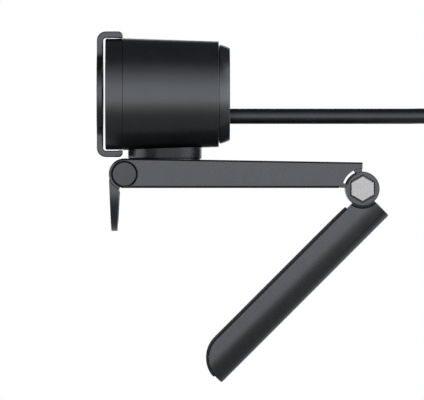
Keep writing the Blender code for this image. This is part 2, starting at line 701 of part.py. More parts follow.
def cover_side():
    """The C-shaped strip, anticlockwise from the lower arm's end."""
    bend, inner, end = 2.3, 0.7, 1.1
    back, face = COVER_REAR, COVER_FRONT
    inside = face + COVER_THICK
    low, high = COVER_BOTTOM + COVER_THICK, COVER_TOP - COVER_THICK
    nub = back - 0.87
    points = arc((face + bend, COVER_TOP - bend), bend, 90, 180, 6)
    points += arc((face + bend, COVER_BOTTOM + bend), bend, 180, 270, 6)
    points += arc((back - end, COVER_BOTTOM + end), end, 270, 360, 4)
    points += [(back, low + COVER_NUB), (nub, low + COVER_NUB), (nub, low)]
    points += arc((inside + inner, low + inner), inner, 270, 180, 3)
    points += arc((inside + inner, high - inner), inner, 180, 90, 3)
    points += [(nub, high), (nub, high - COVER_NUB), (back, high - COVER_NUB)]
    points += arc((back - end, COVER_TOP - end), end, 0, 90, 4)
    return points


def privacy_cover():
    cover = plate("privacy_cover", cover_side(), (-12.0, 12.0))
    half, radius = COVER_TAB_HALF_WIDTH, COVER_DISC_R
    corner = math.degrees(math.asin(half / radius))
    centre = (0.0, BARREL_Z)
    front = [(half, 45.0), (-half, 45.0)] + arc(centre, radius, 90 + corner, 270 - corner, 24)
    front += [(-half, 0.0), (half, 0.0)] + arc(centre, radius, corner - 90, 90 - corner, 24)
    combine(cover, plate("cover_face", front, (-20.0, -5.0), "XZ", cutter=True), "INTERSECT")
    attach(COVER_AXIS, BLACK_PLASTIC, cover)


# ---- cable ----------------------------------------------------------------------------------

def smooth_route(points, spacing):
    """Points at an even spacing on a smooth curve through the route's own points."""
    route = [points[0]] + points + [points[-1]]
    fine = []
    for a, b, c, d in zip(route, route[1:], route[2:], route[3:]):
        for i in range(40):
            t = i / 40
            fine.append(tuple(
                0.5 * (2 * q + (r - p) * t + (2 * p - 5 * q + 4 * r - s) * t * t
                       + (3 * q - p - 3 * r + s) * t ** 3)
                for p, q, r, s in zip(a, b, c, d)
            ))
    fine.append(points[-1])
    kept = [fine[0]]
    for place in fine[1:-1]:
        if math.dist(place, kept[-1]) >= spacing and math.dist(place, fine[-1]) > spacing / 2:
            kept.append(place)
    return kept + [fine[-1]]


def usb_cable():
    curve = bpy.data.curves.new("usb_cable", "CURVE")
    curve.dimensions = "3D"
    curve.bevel_depth = CABLE_R * MM
    curve.bevel_resolution = 2
    curve.use_fill_caps = True
    curve.render_resolution_u = 0
    places = smooth_route(CABLE_ROUTE, 4.5 * CABLE_R)
    spline = curve.splines.new("POLY")
    spline.points.add(len(places) - 1)
    for point, (y, z) in zip(spline.points, places):
        point.co = (0.0, y * MM, z * MM, 1.0)
    attach(HEAD_AXIS, CABLE, new_object("usb_cable", curve))


def loop(radius):
    """A loop of the hank: two straight runs with round ends."""
    upper = (HANK_Y, HANK_TOP)
    lower = (HANK_Y, HANK_TOP - HANK_STRAIGHT)
    return arc(upper, radius, 0, 180, 16) + arc(lower, radius, 180, 360, 16)


def cord_end():
    grommet = turned(
        "cable_grommet", [(3.8, 14.6), (3.8, 11.8), (2.25, 11.8), (2.25, 14.6)],
        "Y", (0.0, CABLE_Z), 24,
    )
    hank = outline("cable_hank", loop(HANK_OUTER_R), HANK_X, holes=[loop(HANK_INNER_R)])
    y0, y1 = PLUG_Y - PLUG_HALF_WIDTH, PLUG_Y + PLUG_HALF_WIDTH
    body = box("usb_plug_body", (PLUG_X[0], y0, PLUG_Z[0]), (PLUG_X[1], y1, PLUG_Z[1]))
    rounding = body.modifiers.new("rounding", "BEVEL")
    rounding.width = 1.6 * MM
    rounding.segments = 3
    metal_x = ((PLUG_X[0] + PLUG_X[1]) / 2 - 2.25, (PLUG_X[0] + PLUG_X[1]) / 2 + 2.25)
    low = (metal_x[0], PLUG_Y - 6.0, PLUG_METAL_Z[0])
    high = (metal_x[1], PLUG_Y + 6.0, PLUG_METAL_Z[1])
    metal = box("usb_plug_shell", low, high)
    wall = 0.4
    hollow = box(
        "plug_mouth", (low[0] + wall, low[1] + wall, low[2] + 3.5),
        (high[0] - wall, high[1] - wall, high[2] + 2), True,
    )
    combine(metal, hollow)
    tie = outline("cable_tie", tie_ring(0.3 + TIE_THICK), TIE_Z, "XY", [tie_ring(0.3)])
    attach(HEAD_AXIS, RUBBER, grommet)
    attach(HEAD_AXIS, CABLE, hank, body, tie)
    attach(HEAD_AXIS, STEEL, metal)


def tie_ring(away):
    """The strap's outline about the hank and the plug, at a distance from them."""
    near, far = HANK_Y - HANK_OUTER_R - away, HANK_Y + HANK_OUTER_R + away
    plug_near, plug_far = PLUG_Y - PLUG_HALF_WIDTH - away, PLUG_Y + PLUG_HALF_WIDTH + away
    left, right = HANK_X[0] - away, PLUG_X[1] + away
    shoulder = HANK_X[1] + away / 2
    return [(left, near), (shoulder, near), (right, plug_near), (right, plug_far),
            (shoulder, far), (left, far)]


clip_arm()
arm_fittings()
rear_hinge_fittings()
swivel_fittings()
front_lip()
lip_pad()
rear_leg()
leg_pad()
swivel_pedestal()
main_shell()
barrel_ends()
optics()
electronics()
privacy_cover()
usb_cable()
cord_end()
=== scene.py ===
"""The looks of a small barrel webcam on a folding monitor clip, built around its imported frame.

Sizes are in millimetres, and MM turns them into metres where a mesh is made. The webcam looks
along -Y, +Z is up and X runs across. The picture is taken from its side, looking along -X.
"""

from math import acos, asin, cos, degrees, dist, pi, radians, sin, sqrt, tan

import bmesh
import bpy
from mathutils import Matrix, Vector


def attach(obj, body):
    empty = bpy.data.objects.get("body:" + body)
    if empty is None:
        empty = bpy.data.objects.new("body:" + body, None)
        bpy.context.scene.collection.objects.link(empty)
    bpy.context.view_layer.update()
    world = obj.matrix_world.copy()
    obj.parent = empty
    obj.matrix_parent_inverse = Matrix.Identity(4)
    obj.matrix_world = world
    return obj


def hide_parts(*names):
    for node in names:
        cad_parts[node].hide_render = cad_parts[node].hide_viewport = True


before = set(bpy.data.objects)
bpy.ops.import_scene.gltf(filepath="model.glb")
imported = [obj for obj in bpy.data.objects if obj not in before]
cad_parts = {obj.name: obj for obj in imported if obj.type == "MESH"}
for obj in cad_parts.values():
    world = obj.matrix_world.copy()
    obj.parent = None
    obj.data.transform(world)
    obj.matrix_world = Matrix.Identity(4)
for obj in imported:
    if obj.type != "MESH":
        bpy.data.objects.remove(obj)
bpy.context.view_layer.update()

MM = 0.001
QUARTER = radians(90)

# ---- places, repeated from the part ----------

HALF_WIDTH = 10.5
PIVOT = (-10.05, 3.45)          # front hinge, as (Y, Z)
HINGE = (49.25, -0.2)           # rear hinge
ARM_END_R = 3.9
ARM_SLOPE = 0.95
ARM_UNDERSIDE = 0.45
LIP_REAR = -11.35
PAD_TOP = 1.15
PAD_REAR = 43.5
DISC_R = 3.3
DISC_FACE = 10.2
EAR_R = 4.26
EAR_TRIMMED_R = 3.95
EAR_CLEARANCE_R = 5.0
EAR_INNER = 6.6
SLOT = (113.0, 163.0)
HEX_FLOOR = 8.4
LEG_LENGTH = 59.4
LEG_INNER = 0.18
LEG_DEPTH = 9.38
LEG_FLAT_SIDE = 3.48
LEG_ROUND_R = 5.9
LEG_TIP_R = 7.0
LEG_PAD_START = 6.2
LEG_PAD_THICK = 0.6
LEG_TILT = -45.0
LIP_TIP_FRONT = -13.35
LIP_TIP_REAR = -11.85
LIP_TONGUE_R = 10.5
LIP_TONGUE_Z = -0.25
BARREL_Z = 23.45
BARREL_FRONT = -14.85
RING_REAR = -10.53
SHELL_FRONT = -10.47
SHELL_REAR = 13.48
BARREL_R = 14.0
RING_R = 13.88
SHELL_REAR_R = 13.22
CAP_R = 12.39
CAP_FACE = 16.28
PEDESTAL_R = 9.12
PEDESTAL_BASE = 7.4
COVER_FRONT = -17.02
COVER_REAR = -10.53
COVER_TOP = 39.1
COVER_BOTTOM = 7.72
COVER_THICK = 1.6
COVER_DISC_R = 9.8
COVER_TAB_HALF_WIDTH = 3.5
CABLE_R = 1.925
CABLE_Z = 17.93
CABLE_ROUTE = [
    (12.0, 17.93), (22.0, 17.93), (32.0, 17.93), (42.0, 17.93), (52.0, 17.93), (60.0, 17.93),
    (67.0, 17.9), (76.0, 16.9), (86.0, 12.6), (94.5, 5.2), (100.4, -4.6), (103.2, -14.7),
]
HANK_Y = 118.6
HANK_OUTER = 15.4
HANK_INNER = 11.55
HANK_TOP = -26.0
HANK_STRAIGHT = 41.6
PLUG_MIDDLE = (6.2, 127.2)
PLUG_Z = (-46.0, -20.0)
TIE_Z = (-37.0, -31.0)
HANK_TURNS = 8
SWIVEL = (0.0, 0.0)             # as (X, Y)
INSERT = (0.0, 26.0)
BOLT_FLATS = 5.78
NUT_FLATS = 5.5
BOLT_BORE_R = 1.56
CAP_SEAM = 13.7                 # where the cap's face part meets the shell
PLUG_METAL = (2.25, 6.0)        # half the metal shell's thickness and width
PLUG_METAL_Z = (-19.9, -8.0)
PLUG_HALF_WIDTH = 7.85
FLOOR_Z = -85.6


# ---- camera, lights and floor ----------------

scene = bpy.context.scene
scene.view_settings.view_transform = "Standard"
scene.view_settings.look = "None"

LENS, SENSOR, VIEW_WIDTH = 800.0, 36.0, 106.0
AIM = Vector((0.0, 11.775, -3.0)) * MM

lens = bpy.data.cameras.new("camera")
lens.lens = LENS
lens.sensor_width = SENSOR
lens.clip_end = 20.0
camera = bpy.data.objects.new("camera", lens)
camera.location = AIM + Vector((VIEW_WIDTH * MM * LENS / SENSOR, 0.0, 0.0))
camera.rotation_euler = (QUARTER, 0.0, QUARTER)
scene.collection.objects.link(camera)
scene.camera = camera


LIGHT_COLOUR = (0.90, 0.95, 1.04)
KEY_SIDES = (-27.0, 52.0)       # how far the key light reaches to either side, in degrees


def softbox(name, centre, facing, width, height, brightness):
    """A rectangular light of an even brightness, which doesn't show in the picture."""
    data = bpy.data.lights.new(name, "AREA")
    data.shape = "RECTANGLE"
    data.size, data.size_y = width, height
    data.energy = brightness * pi * width * height
    data.color = LIGHT_COLOUR
    light = bpy.data.objects.new(name, data)
    light.location = centre
    light.rotation_euler = Vector(facing).to_track_quat("-Z", "Y").to_euler()
    light.visible_camera = False
    scene.collection.objects.link(light)


def band(name, low, high, brightness, at):
    """A light on the camera's side, over a range of heights in degrees as the barrel sees them."""
    bottom, top = (BARREL_Z * MM + at * tan(radians(angle)) for angle in (low, high))
    near, far = (at * tan(radians(angle)) for angle in KEY_SIDES)
    softbox(name, (at, (near + far) / 2, (bottom + top) / 2), (-1, 0, 0), far - near, top - bottom,
            brightness)


# The key light is brightest level with the camera, and fades upwards. Downwards, the floor's
# painted glow carries it on.
band("key_core", -12.0, 22.0, 1.12, 0.50)
band("key_inner", -12.0, 41.0, 1.06, 0.51)
band("key_outer", -11.5, 59.0, 0.68, 0.52)
band("key_faint", -11.5, 70.0, 0.10, 0.53)
softbox("front_light", (-0.20, -0.60, 0.04), (0, 1, 0), 0.96, 0.40, 6.0)
softbox("rear_light", (0.20, 0.62, 0.07), (0, -1, 0), 0.56, 0.56, 5.2)
softbox("rear_high_light", (0.22, 0.62, 0.62), (0, -1, 0), 0.52, 0.50, 2.2)
softbox("far_light", (-0.60, 0.0, 0.06), (1, 0, 0), 0.80, 0.40, 1.6)


# ---- materials -------------------------------

WHITE = (1.0, 1.0, 1.0, 1.0)


def add(near, kind, inputs=None, **settings):
    """A node in the tree of another one, with its settings, and its inputs given by name as values
    or as other sockets."""
    made = near.id_data.nodes.new(f"ShaderNode{kind}")
    for key, value in settings.items():
        setattr(made, key, value)
    for key, value in (inputs or {}).items():
        if isinstance(value, bpy.types.NodeSocket):
            join(value, made.inputs[key])
        else:
            made.inputs[key].default_value = value
    return made


def join(output, target):
    target.id_data.links.new(output, target)


def studio(ambient, backdrop):
    """A white world: one strength lights the scene, and the other is what the camera sees."""
    world = bpy.data.worlds.new("studio")
    world.use_nodes = True
    tree = world.node_tree
    lit = tree.nodes["Background"]
    lit.inputs["Color"].default_value = WHITE
    lit.inputs["Strength"].default_value = ambient
    behind = add(tree, "Background", {"Color": WHITE, "Strength": backdrop})
    seen = add(tree, "LightPath").outputs["Is Camera Ray"]
    choice = add(tree, "MixShader", {"Fac": seen, 1: lit.outputs[0], 2: behind.outputs[0]})
    join(choice.outputs["Shader"], tree.nodes["World Output"].inputs["Surface"])
    scene.world = world


studio(ambient=0.06, backdrop=1.0)


def blank(name, **fixed):
    """A new material with its fixed values, its shader, and its surface's place in millimetres."""
    made = bpy.data.materials.new(name)
    made.use_nodes = True
    shader = made.node_tree.nodes["Principled BSDF"]
    for key, value in fixed.items():
        shader.inputs[key.replace("_", " ").title().replace("Ior", "IOR")].default_value = value
    place = add(shader, "TexCoord").outputs["Object"]
    scaled = add(shader, "VectorMath", {0: place, "Scale": 1 / MM}, operation="SCALE")
    return made, shader, scaled.outputs["Vector"]


def noise(place, scale, detail=3.0, roughness=0.55):
    return add(place, "TexNoise", {"Vector": place, "Scale": scale, "Detail": detail,
                                  "Roughness": roughness}).outputs["Fac"]


def spread(value, low, high, start=0.3, end=0.7):
    """A value's middle range, mapped to another."""
    return add(value, "MapRange", {"Value": value, "From Min": start, "From Max": end,
                                  "To Min": low, "To Max": high}).outputs["Result"]


def sums(a, b, operation="ADD"):
    return add(a, "Math", {0: a, 1: b}, operation=operation).outputs["Value"]


def times(a, b):
    return sums(a, b, "MULTIPLY")


def shades(colour, dark, light):
    """A colour's darker and lighter versions."""
    return [[value * share for value in colour] for share in (dark, light)]


def tones(shader, value, dark, light):
    """The base colour, between two tones."""
    ramp = add(shader, "ValToRGB", {"Fac": value})
    ramp.color_ramp.elements[0].color = (*dark, 1.0)
    ramp.color_ramp.elements[1].color = (*light, 1.0)
    ramp.color_ramp.elements[0].position = 0.3
    ramp.color_ramp.elements[1].position = 0.7
    join(ramp.outputs["Color"], shader.inputs["Base Color"])


def polish(shader, value, low, high):
    """The roughness, uneven between two values."""
    join(spread(value, low, high), shader.inputs["Roughness"])


def relief(shader, height, depth):
    """A bump with its depth in millimetres."""
    bump = add(shader, "Bump", {"Height": height, "Distance": depth * MM, "Strength": 1.0})
    join(bump.outputs["Normal"], shader.inputs["Normal"])


def moulded(name, colour, roughness, grain=0.010, pitch=4.5, specular=0.5):
    """Moulded plastic with a fine spark-eroded grain, and slight clouding in tone and gloss."""
    made, shader, place = blank(name, specular_ior_level=specular)
    cloud = noise(place, 0.09, 4.0)
    speck = noise(place, 2.2, 2.0)
    mixed = sums(cloud, times(speck, 0.35))
    tones(shader, sums(mixed, 0.175, "SUBTRACT"), *shades(colour, 0.84, 1.18))
    polish(shader, noise(place, 0.35, 3.0), roughness - 0.025, roughness + 0.025)
    pits = add(place, "TexVoronoi", {"Vector": place, "Scale": pitch * 0.8})
    height = sums(noise(place, pitch), pits.outputs["Distance"])
    relief(shader, height, grain)
    return made


def rubbery(name, colour, roughness):
    """Soft rubber: chalky, with a fine pebbled skin and faint dust in patches."""
    made, shader, place = blank(name, specular_ior_level=0.3)
    dust = times(noise(place, 0.22, 5.0), noise(place, 1.6, 2.0))
    tones(shader, times(dust, 2.0), *shades(colour, 1.0, 1.7))
    polish(shader, noise(place, 0.5), roughness - 0.07, roughness + 0.05)
    pebbles = add(place, "TexVoronoi", {"Vector": place, "Scale": 3.2}, feature="SMOOTH_F1")
    relief(shader, pebbles.outputs["Distance"], 0.03)
    return made


def metal(name, colour, roughness, axis="X", at=(0.0, 0.0), rings=7.0, depth=0.002):
    """Turned metal: faint rings about an axis, small scratches and uneven polish."""
    made, shader, place = blank(name, metallic=1.0)
    centre = list(at)
    centre.insert("XYZ".index(axis), 0.0)
    local = add(place, "VectorMath", {0: place, 1: centre}, operation="SUBTRACT").outputs["Vector"]
    marks = add(place, "TexWave", {"Vector": local, "Scale": rings, "Distortion": 0.6,
                                  "Detail": 2.0}, wave_type="RINGS", rings_direction=axis)
    stretch = [9.0, 9.0, 9.0]
    stretch["XYZ".index(axis)] = 1.0
    drawn = add(place, "VectorMath", {0: local, 1: stretch}, operation="MULTIPLY")
    streaks = noise(drawn.outputs["Vector"], 0.6, 4.0)
    mixed = sums(times(streaks, 0.6), times(marks.outputs["Fac"], 0.4))
    tones(shader, mixed, *shades(colour, 0.9, 1.0))
    polish(shader, streaks, roughness - 0.05, roughness + 0.08)
    relief(shader, sums(marks.outputs["Fac"], streaks), depth)
    return made


def jacket(name, colour, roughness):
    """A cable's drawn jacket: a satin skin with faint waves along it."""
    made, shader, place = blank(name, specular_ior_level=0.33)
    tones(shader, noise(place, 0.12, 4.0), *shades(colour, 0.8, 1.25))
    polish(shader, noise(place, 0.8), roughness - 0.04, roughness + 0.05)
    fine = times(noise(place, 5.0), 0.25)
    relief(shader, sums(noise(place, 0.35, 2.0), fine), 0.03)
    return made


def woven(name, colour):
    """Webbing, with warp and weft under half a millimetre apart, and a fuzzy sheen."""
    made, shader, place = blank(name, sheen_weight=0.4, sheen_roughness=0.5,
                                      specular_ior_level=0.2)
    warp, weft_y, weft_x = (
        add(place, "TexWave", {"Vector": place, "Scale": 0.75, "Distortion": 0.4, "Detail": 1.0,
                              "Detail Scale": 3.0}, bands_direction=direction).outputs["Fac"]
        for direction in "ZYX"
    )
    weave = times(warp, sums(weft_y, weft_x, "MAXIMUM"))
    fuzz = noise(place, 2.5, 4.0)
    mixed = sums(times(weave, 0.5), times(fuzz, 0.5))
    tones(shader, mixed, *shades(colour, 0.5, 1.5))
    polish(shader, fuzz, 0.8, 0.95)
    relief(shader, sums(weave, times(fuzz, 0.4)), 0.12)
    return made


def clear(name, tint, ior):
    """Coated glass, with faint smears in its polish."""
    made, shader, place = blank(name, transmission_weight=1.0, ior=ior,
                                      specular_ior_level=0.2)
    smears = noise(place, 0.3, 5.0)
    tones(shader, smears, *shades(tint, 0.92, 1.0))
    polish(shader, smears, 0.02, 0.06)
    return made


def circuit(name, mask, track):
    """A solder-masked board, with tracks and plated holes showing faintly through."""
    made, shader, place = blank(name, coat_weight=0.4, coat_roughness=0.2)
    cells = add(place, "TexVoronoi", {"Vector": place, "Scale": 0.55, "Randomness": 0.7},
                distance="MANHATTAN")
    lines = add(place, "Math", {0: cells.outputs["Distance"], 1: 0.32, 2: 0.05},
                operation="COMPARE").outputs["Value"]
    dots = add(place, "TexVoronoi", {"Vector": place, "Scale": 0.9})
    holes = add(place, "Math", {0: dots.outputs["Distance"], 1: 0.16},
                operation="LESS_THAN").outputs["Value"]
    copper = sums(lines, holes, "MAXIMUM")
    tones(shader, copper, mask, track)
    polish(shader, noise(place, 1.0), 0.35, 0.55)
    relief(shader, copper, 0.03)
    return made


BLACK = (0.0065, 0.0068, 0.0076)
LOOKS = {
    "shell": moulded("moulded_black", BLACK, 0.33),
    "barrel": moulded("barrel_black", BLACK, 0.31, grain=0.007),
    "pedestal": moulded("satin_black", (0.0085, 0.0088, 0.0095), 0.27, grain=0.004,
                        specular=0.14),
    "pin": moulded("pin_black", (0.009, 0.009, 0.009), 0.36, grain=0.012, specular=0.40),
    "cap": moulded("cap_black", (0.0085, 0.009, 0.010), 0.29, grain=0.004, specular=0.58),
    "ring": moulded("mask_black", (0.006, 0.006, 0.006), 0.55, grain=0.0005, specular=0.12),
    "chip": moulded("chip_resin", (0.014, 0.014, 0.015), 0.55, grain=0.008, pitch=9.0),
    "cream": moulded("cream_nylon", (0.55, 0.53, 0.45), 0.45, grain=0.006),
    "insert": moulded("plug_tongue", (0.55, 0.56, 0.57), 0.40, grain=0.004),
    "plug": moulded("plug_black", (0.012, 0.012, 0.013), 0.42, grain=0.018, pitch=3.5),
    "led": moulded("light_diffuser", (0.70, 0.75, 0.72), 0.25, grain=0.002),
    "pad": rubbery("pad_rubber", (0.0045, 0.0045, 0.0050), 0.80),
    "grommet": rubbery("grommet_rubber", (0.008, 0.008, 0.009), 0.65),
    "hex": metal("hex_steel", (0.285, 0.272, 0.262), 0.50, "X", HINGE),
    "steel": metal("plain_steel", (0.55, 0.55, 0.56), 0.30, "Z"),
    "screw": metal("screw_steel", (0.55, 0.55, 0.56), 0.28, "Y"),
    "dark_steel": metal("blackened_steel", (0.06, 0.06, 0.065), 0.38, "X", HINGE),
    "lens_black": metal("anodised_black", (0.03, 0.03, 0.034), 0.34, "Y", (0.0, BARREL_Z), 9.0,
                        0.01),
    "brass": metal("turned_brass", (0.72, 0.50, 0.20), 0.28, "Z", INSERT, 6.0, 0.004),
    "nickel": metal("nickel_plate", (0.66, 0.66, 0.67), 0.20, "Z", PLUG_MIDDLE, 2.0, 0.001),
    "gold": metal("gold_contacts", (0.85, 0.60, 0.25), 0.22, "Z", PLUG_MIDDLE, 2.0, 0.001),
    "cable": jacket("cable_jacket", (0.0055, 0.0060, 0.0072), 0.30),
    "tie": woven("tie_webbing", (0.012, 0.012, 0.013)),
    "glass": clear("front_glass_coated", (0.75, 0.78, 0.80), 1.2),
    "lens": clear("lens_coated", (0.30, 0.26, 0.42), 1.45),
    "filter": clear("filter_glass", (0.55, 0.75, 0.85), 1.5),
    "board": circuit("board_green", (0.008, 0.060, 0.028), (0.03, 0.15, 0.07)),
}


# ---- shapes ----------------------------------

def arc(centre, radius, start, end, steps):
    """Points on an arc, with its angles in degrees."""
    points = []
    for i in range(steps + 1):
        angle = radians(start + (end - start) * i / steps)
        points.append((centre[0] + radius * cos(angle), centre[1] + radius * sin(angle)))
    return points


def eased(share):
    """A smooth start and stop, from 0 to 1."""
    share = min(max(share, 0.0), 1.0)
    return share * share * (3 - 2 * share)


def soften(points, radius, steps=5, closed=True):
    """An outline with its corners rounded. radius is one size, or one for each corner."""
    sizes = radius if isinstance(radius, (list, tuple)) else [radius] * len(points)
    made = []
    for i, (corner, size) in enumerate(zip(points, sizes)):
        if size == 0 or (not closed and i in (0, len(points) - 1)):
            made.append(corner)
            continue
        corner = Vector(corner)
        before = Vector(points[i - 1]) - corner
        after = Vector(points[(i + 1) % len(points)]) - corner
        half = before.angle(after) / 2
        if half > radians(86):
            made.append(tuple(corner))
            continue
        reach = min(size / tan(half), 0.49 * before.length, 0.49 * after.length)
        size = reach * tan(half)
        middle = corner + (before.normalized() + after.normalized()).normalized() * (
            size / sin(half))
        first = corner + before.normalized() * reach - middle
        last = corner + after.normalized() * reach - middle
        for k in range(steps + 1):
            share = k / steps
            total = pi - 2 * half
            towards = (first * sin((1 - share) * total) + last * sin(share * total)) \
                / sin(total)
            made.append(tuple(middle + towards))
    return made


def oblong(low, high, radius=0.0, steps=4):
    """A rectangle between two corners, with its corners rounded."""
    points = [low, (high[0], low[1]), high, (low[0], high[1])]
    return soften(points, radius, steps)


def inset(points, distance):
    """A closed anticlockwise outline, moved inwards."""
    moved = []
    for i, here in enumerate(points):
        sides = []
        for start, end in ((points[i - 1], here), (here, points[(i + 1) % len(points)])):
            length = max(dist(start, end), 1e-9)
            sides.append(((start[1] - end[1]) / length, (end[0] - start[0]) / length))
        (a, b), (c, d) = sides
        share = distance / max(1 + a * c + b * d, 0.4)
        moved.append((here[0] + (a + c) * share, here[1] + (b + d) * share))
    return moved


def skin(name, rings, looped=False):
    """A closed surface over rings of points in millimetres, capped at its ends if not looped."""
    count = len(rings[0])
    verts = [tuple(value * MM for value in point) for ring in rings for point in ring]
    faces = []
    last = len(rings) if looped else len(rings) - 1
    for i in range(last):
        low, high = i * count, (i + 1) % len(rings) * count
        for k in range(count):
            after = (k + 1) % count
            faces.append((low + k, low + after, high + after, high + k))
    if not looped:
        faces.append(tuple(range(count)))
        faces.append(tuple(range((len(rings) - 1) * count, len(rings) * count)))
    mesh = bpy.data.meshes.new(name)
    mesh.from_pydata(verts, [], faces)
    bm = bmesh.new()
    bm.from_mesh(mesh)
    bmesh.ops.remove_doubles(bm, verts=bm.verts, dist=1e-8)
    bmesh.ops.recalc_face_normals(bm, faces=bm.faces)
    bm.to_mesh(mesh)
    bm.free()
    made = bpy.data.objects.new(name, mesh)
    scene.collection.objects.link(made)
    return made


def lathe(name, profile, axis="Y", at=(0.0, BARREL_Z), sides=128, solid=True):
    """A turned piece. The profile's (radius, place along the axis) close on themselves, or start
    and end on the axis where solid."""
    rings = []
    for radius, along in profile:
        ring = []
        for k in range(sides):
            angle = 2 * pi * k / sides
            place = [at[0] + radius * cos(angle), at[1] + radius * sin(angle)]
            place.insert("XYZ".index(axis), along)
            ring.append(place)
        rings.append(ring)
    return skin(name, rings, looped=not solid)


def rod(name, radius, span, axis, at, sides=64):
    """A plain cylinder, mostly for cutting holes."""
    start, end = span
    profile = [(0.0, start), (radius, start), (radius, end), (0.0, end)]
    return lathe(name, profile, axis, at, sides)


def rounds(ends, soft, steps):
    """The stages of a thickness with softened edges: the end that each belongs to, how far it lies
    from there, and how far inwards its outline is."""
    for end, sign, order in ((ends[0], 1, range(steps + 1)), (ends[1], -1, range(steps, -1, -1))):
        for k in order:
            turn = QUARTER * k / max(steps, 1)
            yield end, sign * soft * (1 - cos(turn)), soft * (1 - sin(turn))


def slab(name, points, span, soft=0.3, plane="YZ", steps=4):
    """An outline as thick as a span across its plane, with softened edges."""
    index = ("YZ", "XZ", "XY").index(plane)
    rings = []
    for end, deep, inwards in rounds(span, soft, steps if soft else 0):
        ring = inset(points, inwards) if inwards > 1e-6 else points
        rings.append([(*point[:index], end + deep, *point[index:]) for point in ring])
    return skin(name, rings)


def block(name, low, high, soft=0.15, steps=3):
    """A box with softened edges."""
    points = oblong(low[:2], high[:2], soft * 1.2, steps)
    return slab(name, points, (low[2], high[2]), soft, "XY", steps)


def settle(item):
    """Makes a piece's modifiers part of its mesh."""
    bpy.context.view_layer.update()
    graph = bpy.context.evaluated_depsgraph_get()
    mesh = bpy.data.meshes.new_from_object(item.evaluated_get(graph))
    item.modifiers.clear()
    item.data = mesh
    return item


def combine(item, tools, operation="DIFFERENCE"):
    """Cuts tools from a piece, or joins them to it, and removes them."""
    for tool in tools:
        step = item.modifiers.new(tool.name, "BOOLEAN")
        step.operation = operation
        step.solver = "MANIFOLD"
        step.object = tool
    settle(item)
    for tool in tools:
        bpy.data.objects.remove(tool, do_unlink=True)
    return item


def tilt_leg(item):
    """Moves a piece from the leg's own frame, where it hangs straight down, to its place."""
    turn = Matrix.Rotation(radians(LEG_TILT), 4, "X")
    item.data.transform(Matrix.Translation((0.0, HINGE[0] * MM, HINGE[1] * MM)) @ turn)
    return item


def dress(item, look, body, replaces=(), sharp=32):
    """Gives a piece its finish, its body and the CAD nodes it stands for."""
    if item.type == "MESH":
        item.data.materials.clear()
        item.data.materials.append(LOOKS[look])
        item.data.shade_smooth()
        item.data.set_sharp_from_angle(angle=radians(sharp))
        evened = item.modifiers.new("even_shading", "WEIGHTED_NORMAL")
        evened.keep_sharp = True
    else:
        item.data.materials.append(LOOKS[look])
    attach(item, body)
    if replaces:
        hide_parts(*([replaces] if isinstance(replaces, str) else replaces))
    return item


# ---- cable, hank and plug --------------------

def smooth_route(points, spacing):
    """Points at an even spacing on a smooth curve through the route's own points."""
    route = [points[0]] + points + [points[-1]]
    fine = []
    for a, b, c, d in zip(route, route[1:], route[2:], route[3:]):
        for i in range(40):
            t = i / 40
            fine.append(tuple(
                0.5 * (2 * q + (r - p) * t + (2 * p - 5 * q + 4 * r - s) * t * t
                       + (3 * q - p - 3 * r + s) * t ** 3)
                for p, q, r, s in zip(a, b, c, d)
            ))
    fine.append(points[-1])
    kept = [fine[0]]
    for place in fine[1:-1]:
        if dist(place, kept[-1]) >= spacing and dist(place, fine[-1]) > spacing / 2:
            kept.append(place)
    return kept + [fine[-1]]


def cable_path():
    """The whole lead: out of the barrel, down into the hank, round its eight turns and up to the
    plug. The first four turns step across X outside, and the others step back inside them."""
    gap = 2 * CABLE_R
    places = [(0.0, y, z) for y, z in smooth_route(CABLE_ROUTE, 3.0)]
    low = HANK_TOP - HANK_STRAIGHT
    straight = 6
    fold = 20
    for turn in range(HANK_TURNS):
        outer = turn < HANK_TURNS // 2
        radius = HANK_OUTER if outer else HANK_INNER
        x = -gap * (turn if outer else HANK_TURNS - 1 - turn)
        for i in range(straight + 1):
            places.append((x, HANK_Y - radius, HANK_TOP + (low - HANK_TOP) * i / straight))
        last = turn == HANK_TURNS - 1
        for y, z, share in [(*p, k / fold) for k, p in
                            enumerate(arc((HANK_Y, low), radius, 180, 360, fold))][1:]:
            shift = PLUG_MIDDLE[0] * eased(share * 0.62) if last else 0.0
            places.append((x + shift, y, z))
        if last:
            start = HANK_Y + radius
            rise = 21.6
            for i in range(1, 13):
                share = i / 12
                across = PLUG_MIDDLE[0] * eased(0.62 + 0.42 * share)
                along = start + (PLUG_MIDDLE[1] - start) * eased(share * 1.1)
                places.append((across, along, low + rise * share))
            places.append((*PLUG_MIDDLE, PLUG_Z[0] + 3.0))
            break
        for i in range(1, straight + 1):
            places.append((x, HANK_Y + radius, low + (HANK_TOP - low) * i / straight))
        for k in range(1, fold + 1):
            swing = QUARTER * eased(k / fold / 0.85)
            if turn < HANK_TURNS // 2 - 1:
                here, across = radius, x - gap * (1 - cos(swing))
            elif outer:
                here, across = radius - gap * sin(swing), x
            else:
                here, across = radius, x + gap * sqrt(1 - (1 - sin(swing)) ** 2)
            angle = pi * k / fold
            places.append((across, HANK_Y + here * cos(angle),
                           HANK_TOP + here * sin(angle)))
    kept = [places[0]]
    for place in places[1:]:
        if dist(place, kept[-1]) > 0.4:
            kept.append(place)
    return kept


def usb_lead():
    path = cable_path()
    curve = bpy.data.curves.new("usb_lead", "CURVE")
    curve.dimensions = "3D"
    curve.bevel_depth = CABLE_R * MM
    curve.bevel_resolution = 6
    curve.use_fill_caps = True
    spline = curve.splines.new("POLY")
    spline.points.add(len(path) - 1)
    for point, place in zip(spline.points, path):
        point.co = (*(value * MM for value in place), 1.0)
    spline.use_smooth = True
    lead = bpy.data.objects.new("usb_lead", curve)
    scene.collection.objects.link(lead)
    return dress(lead, "cable", "head", ("usb_cable", "cable_hank"))


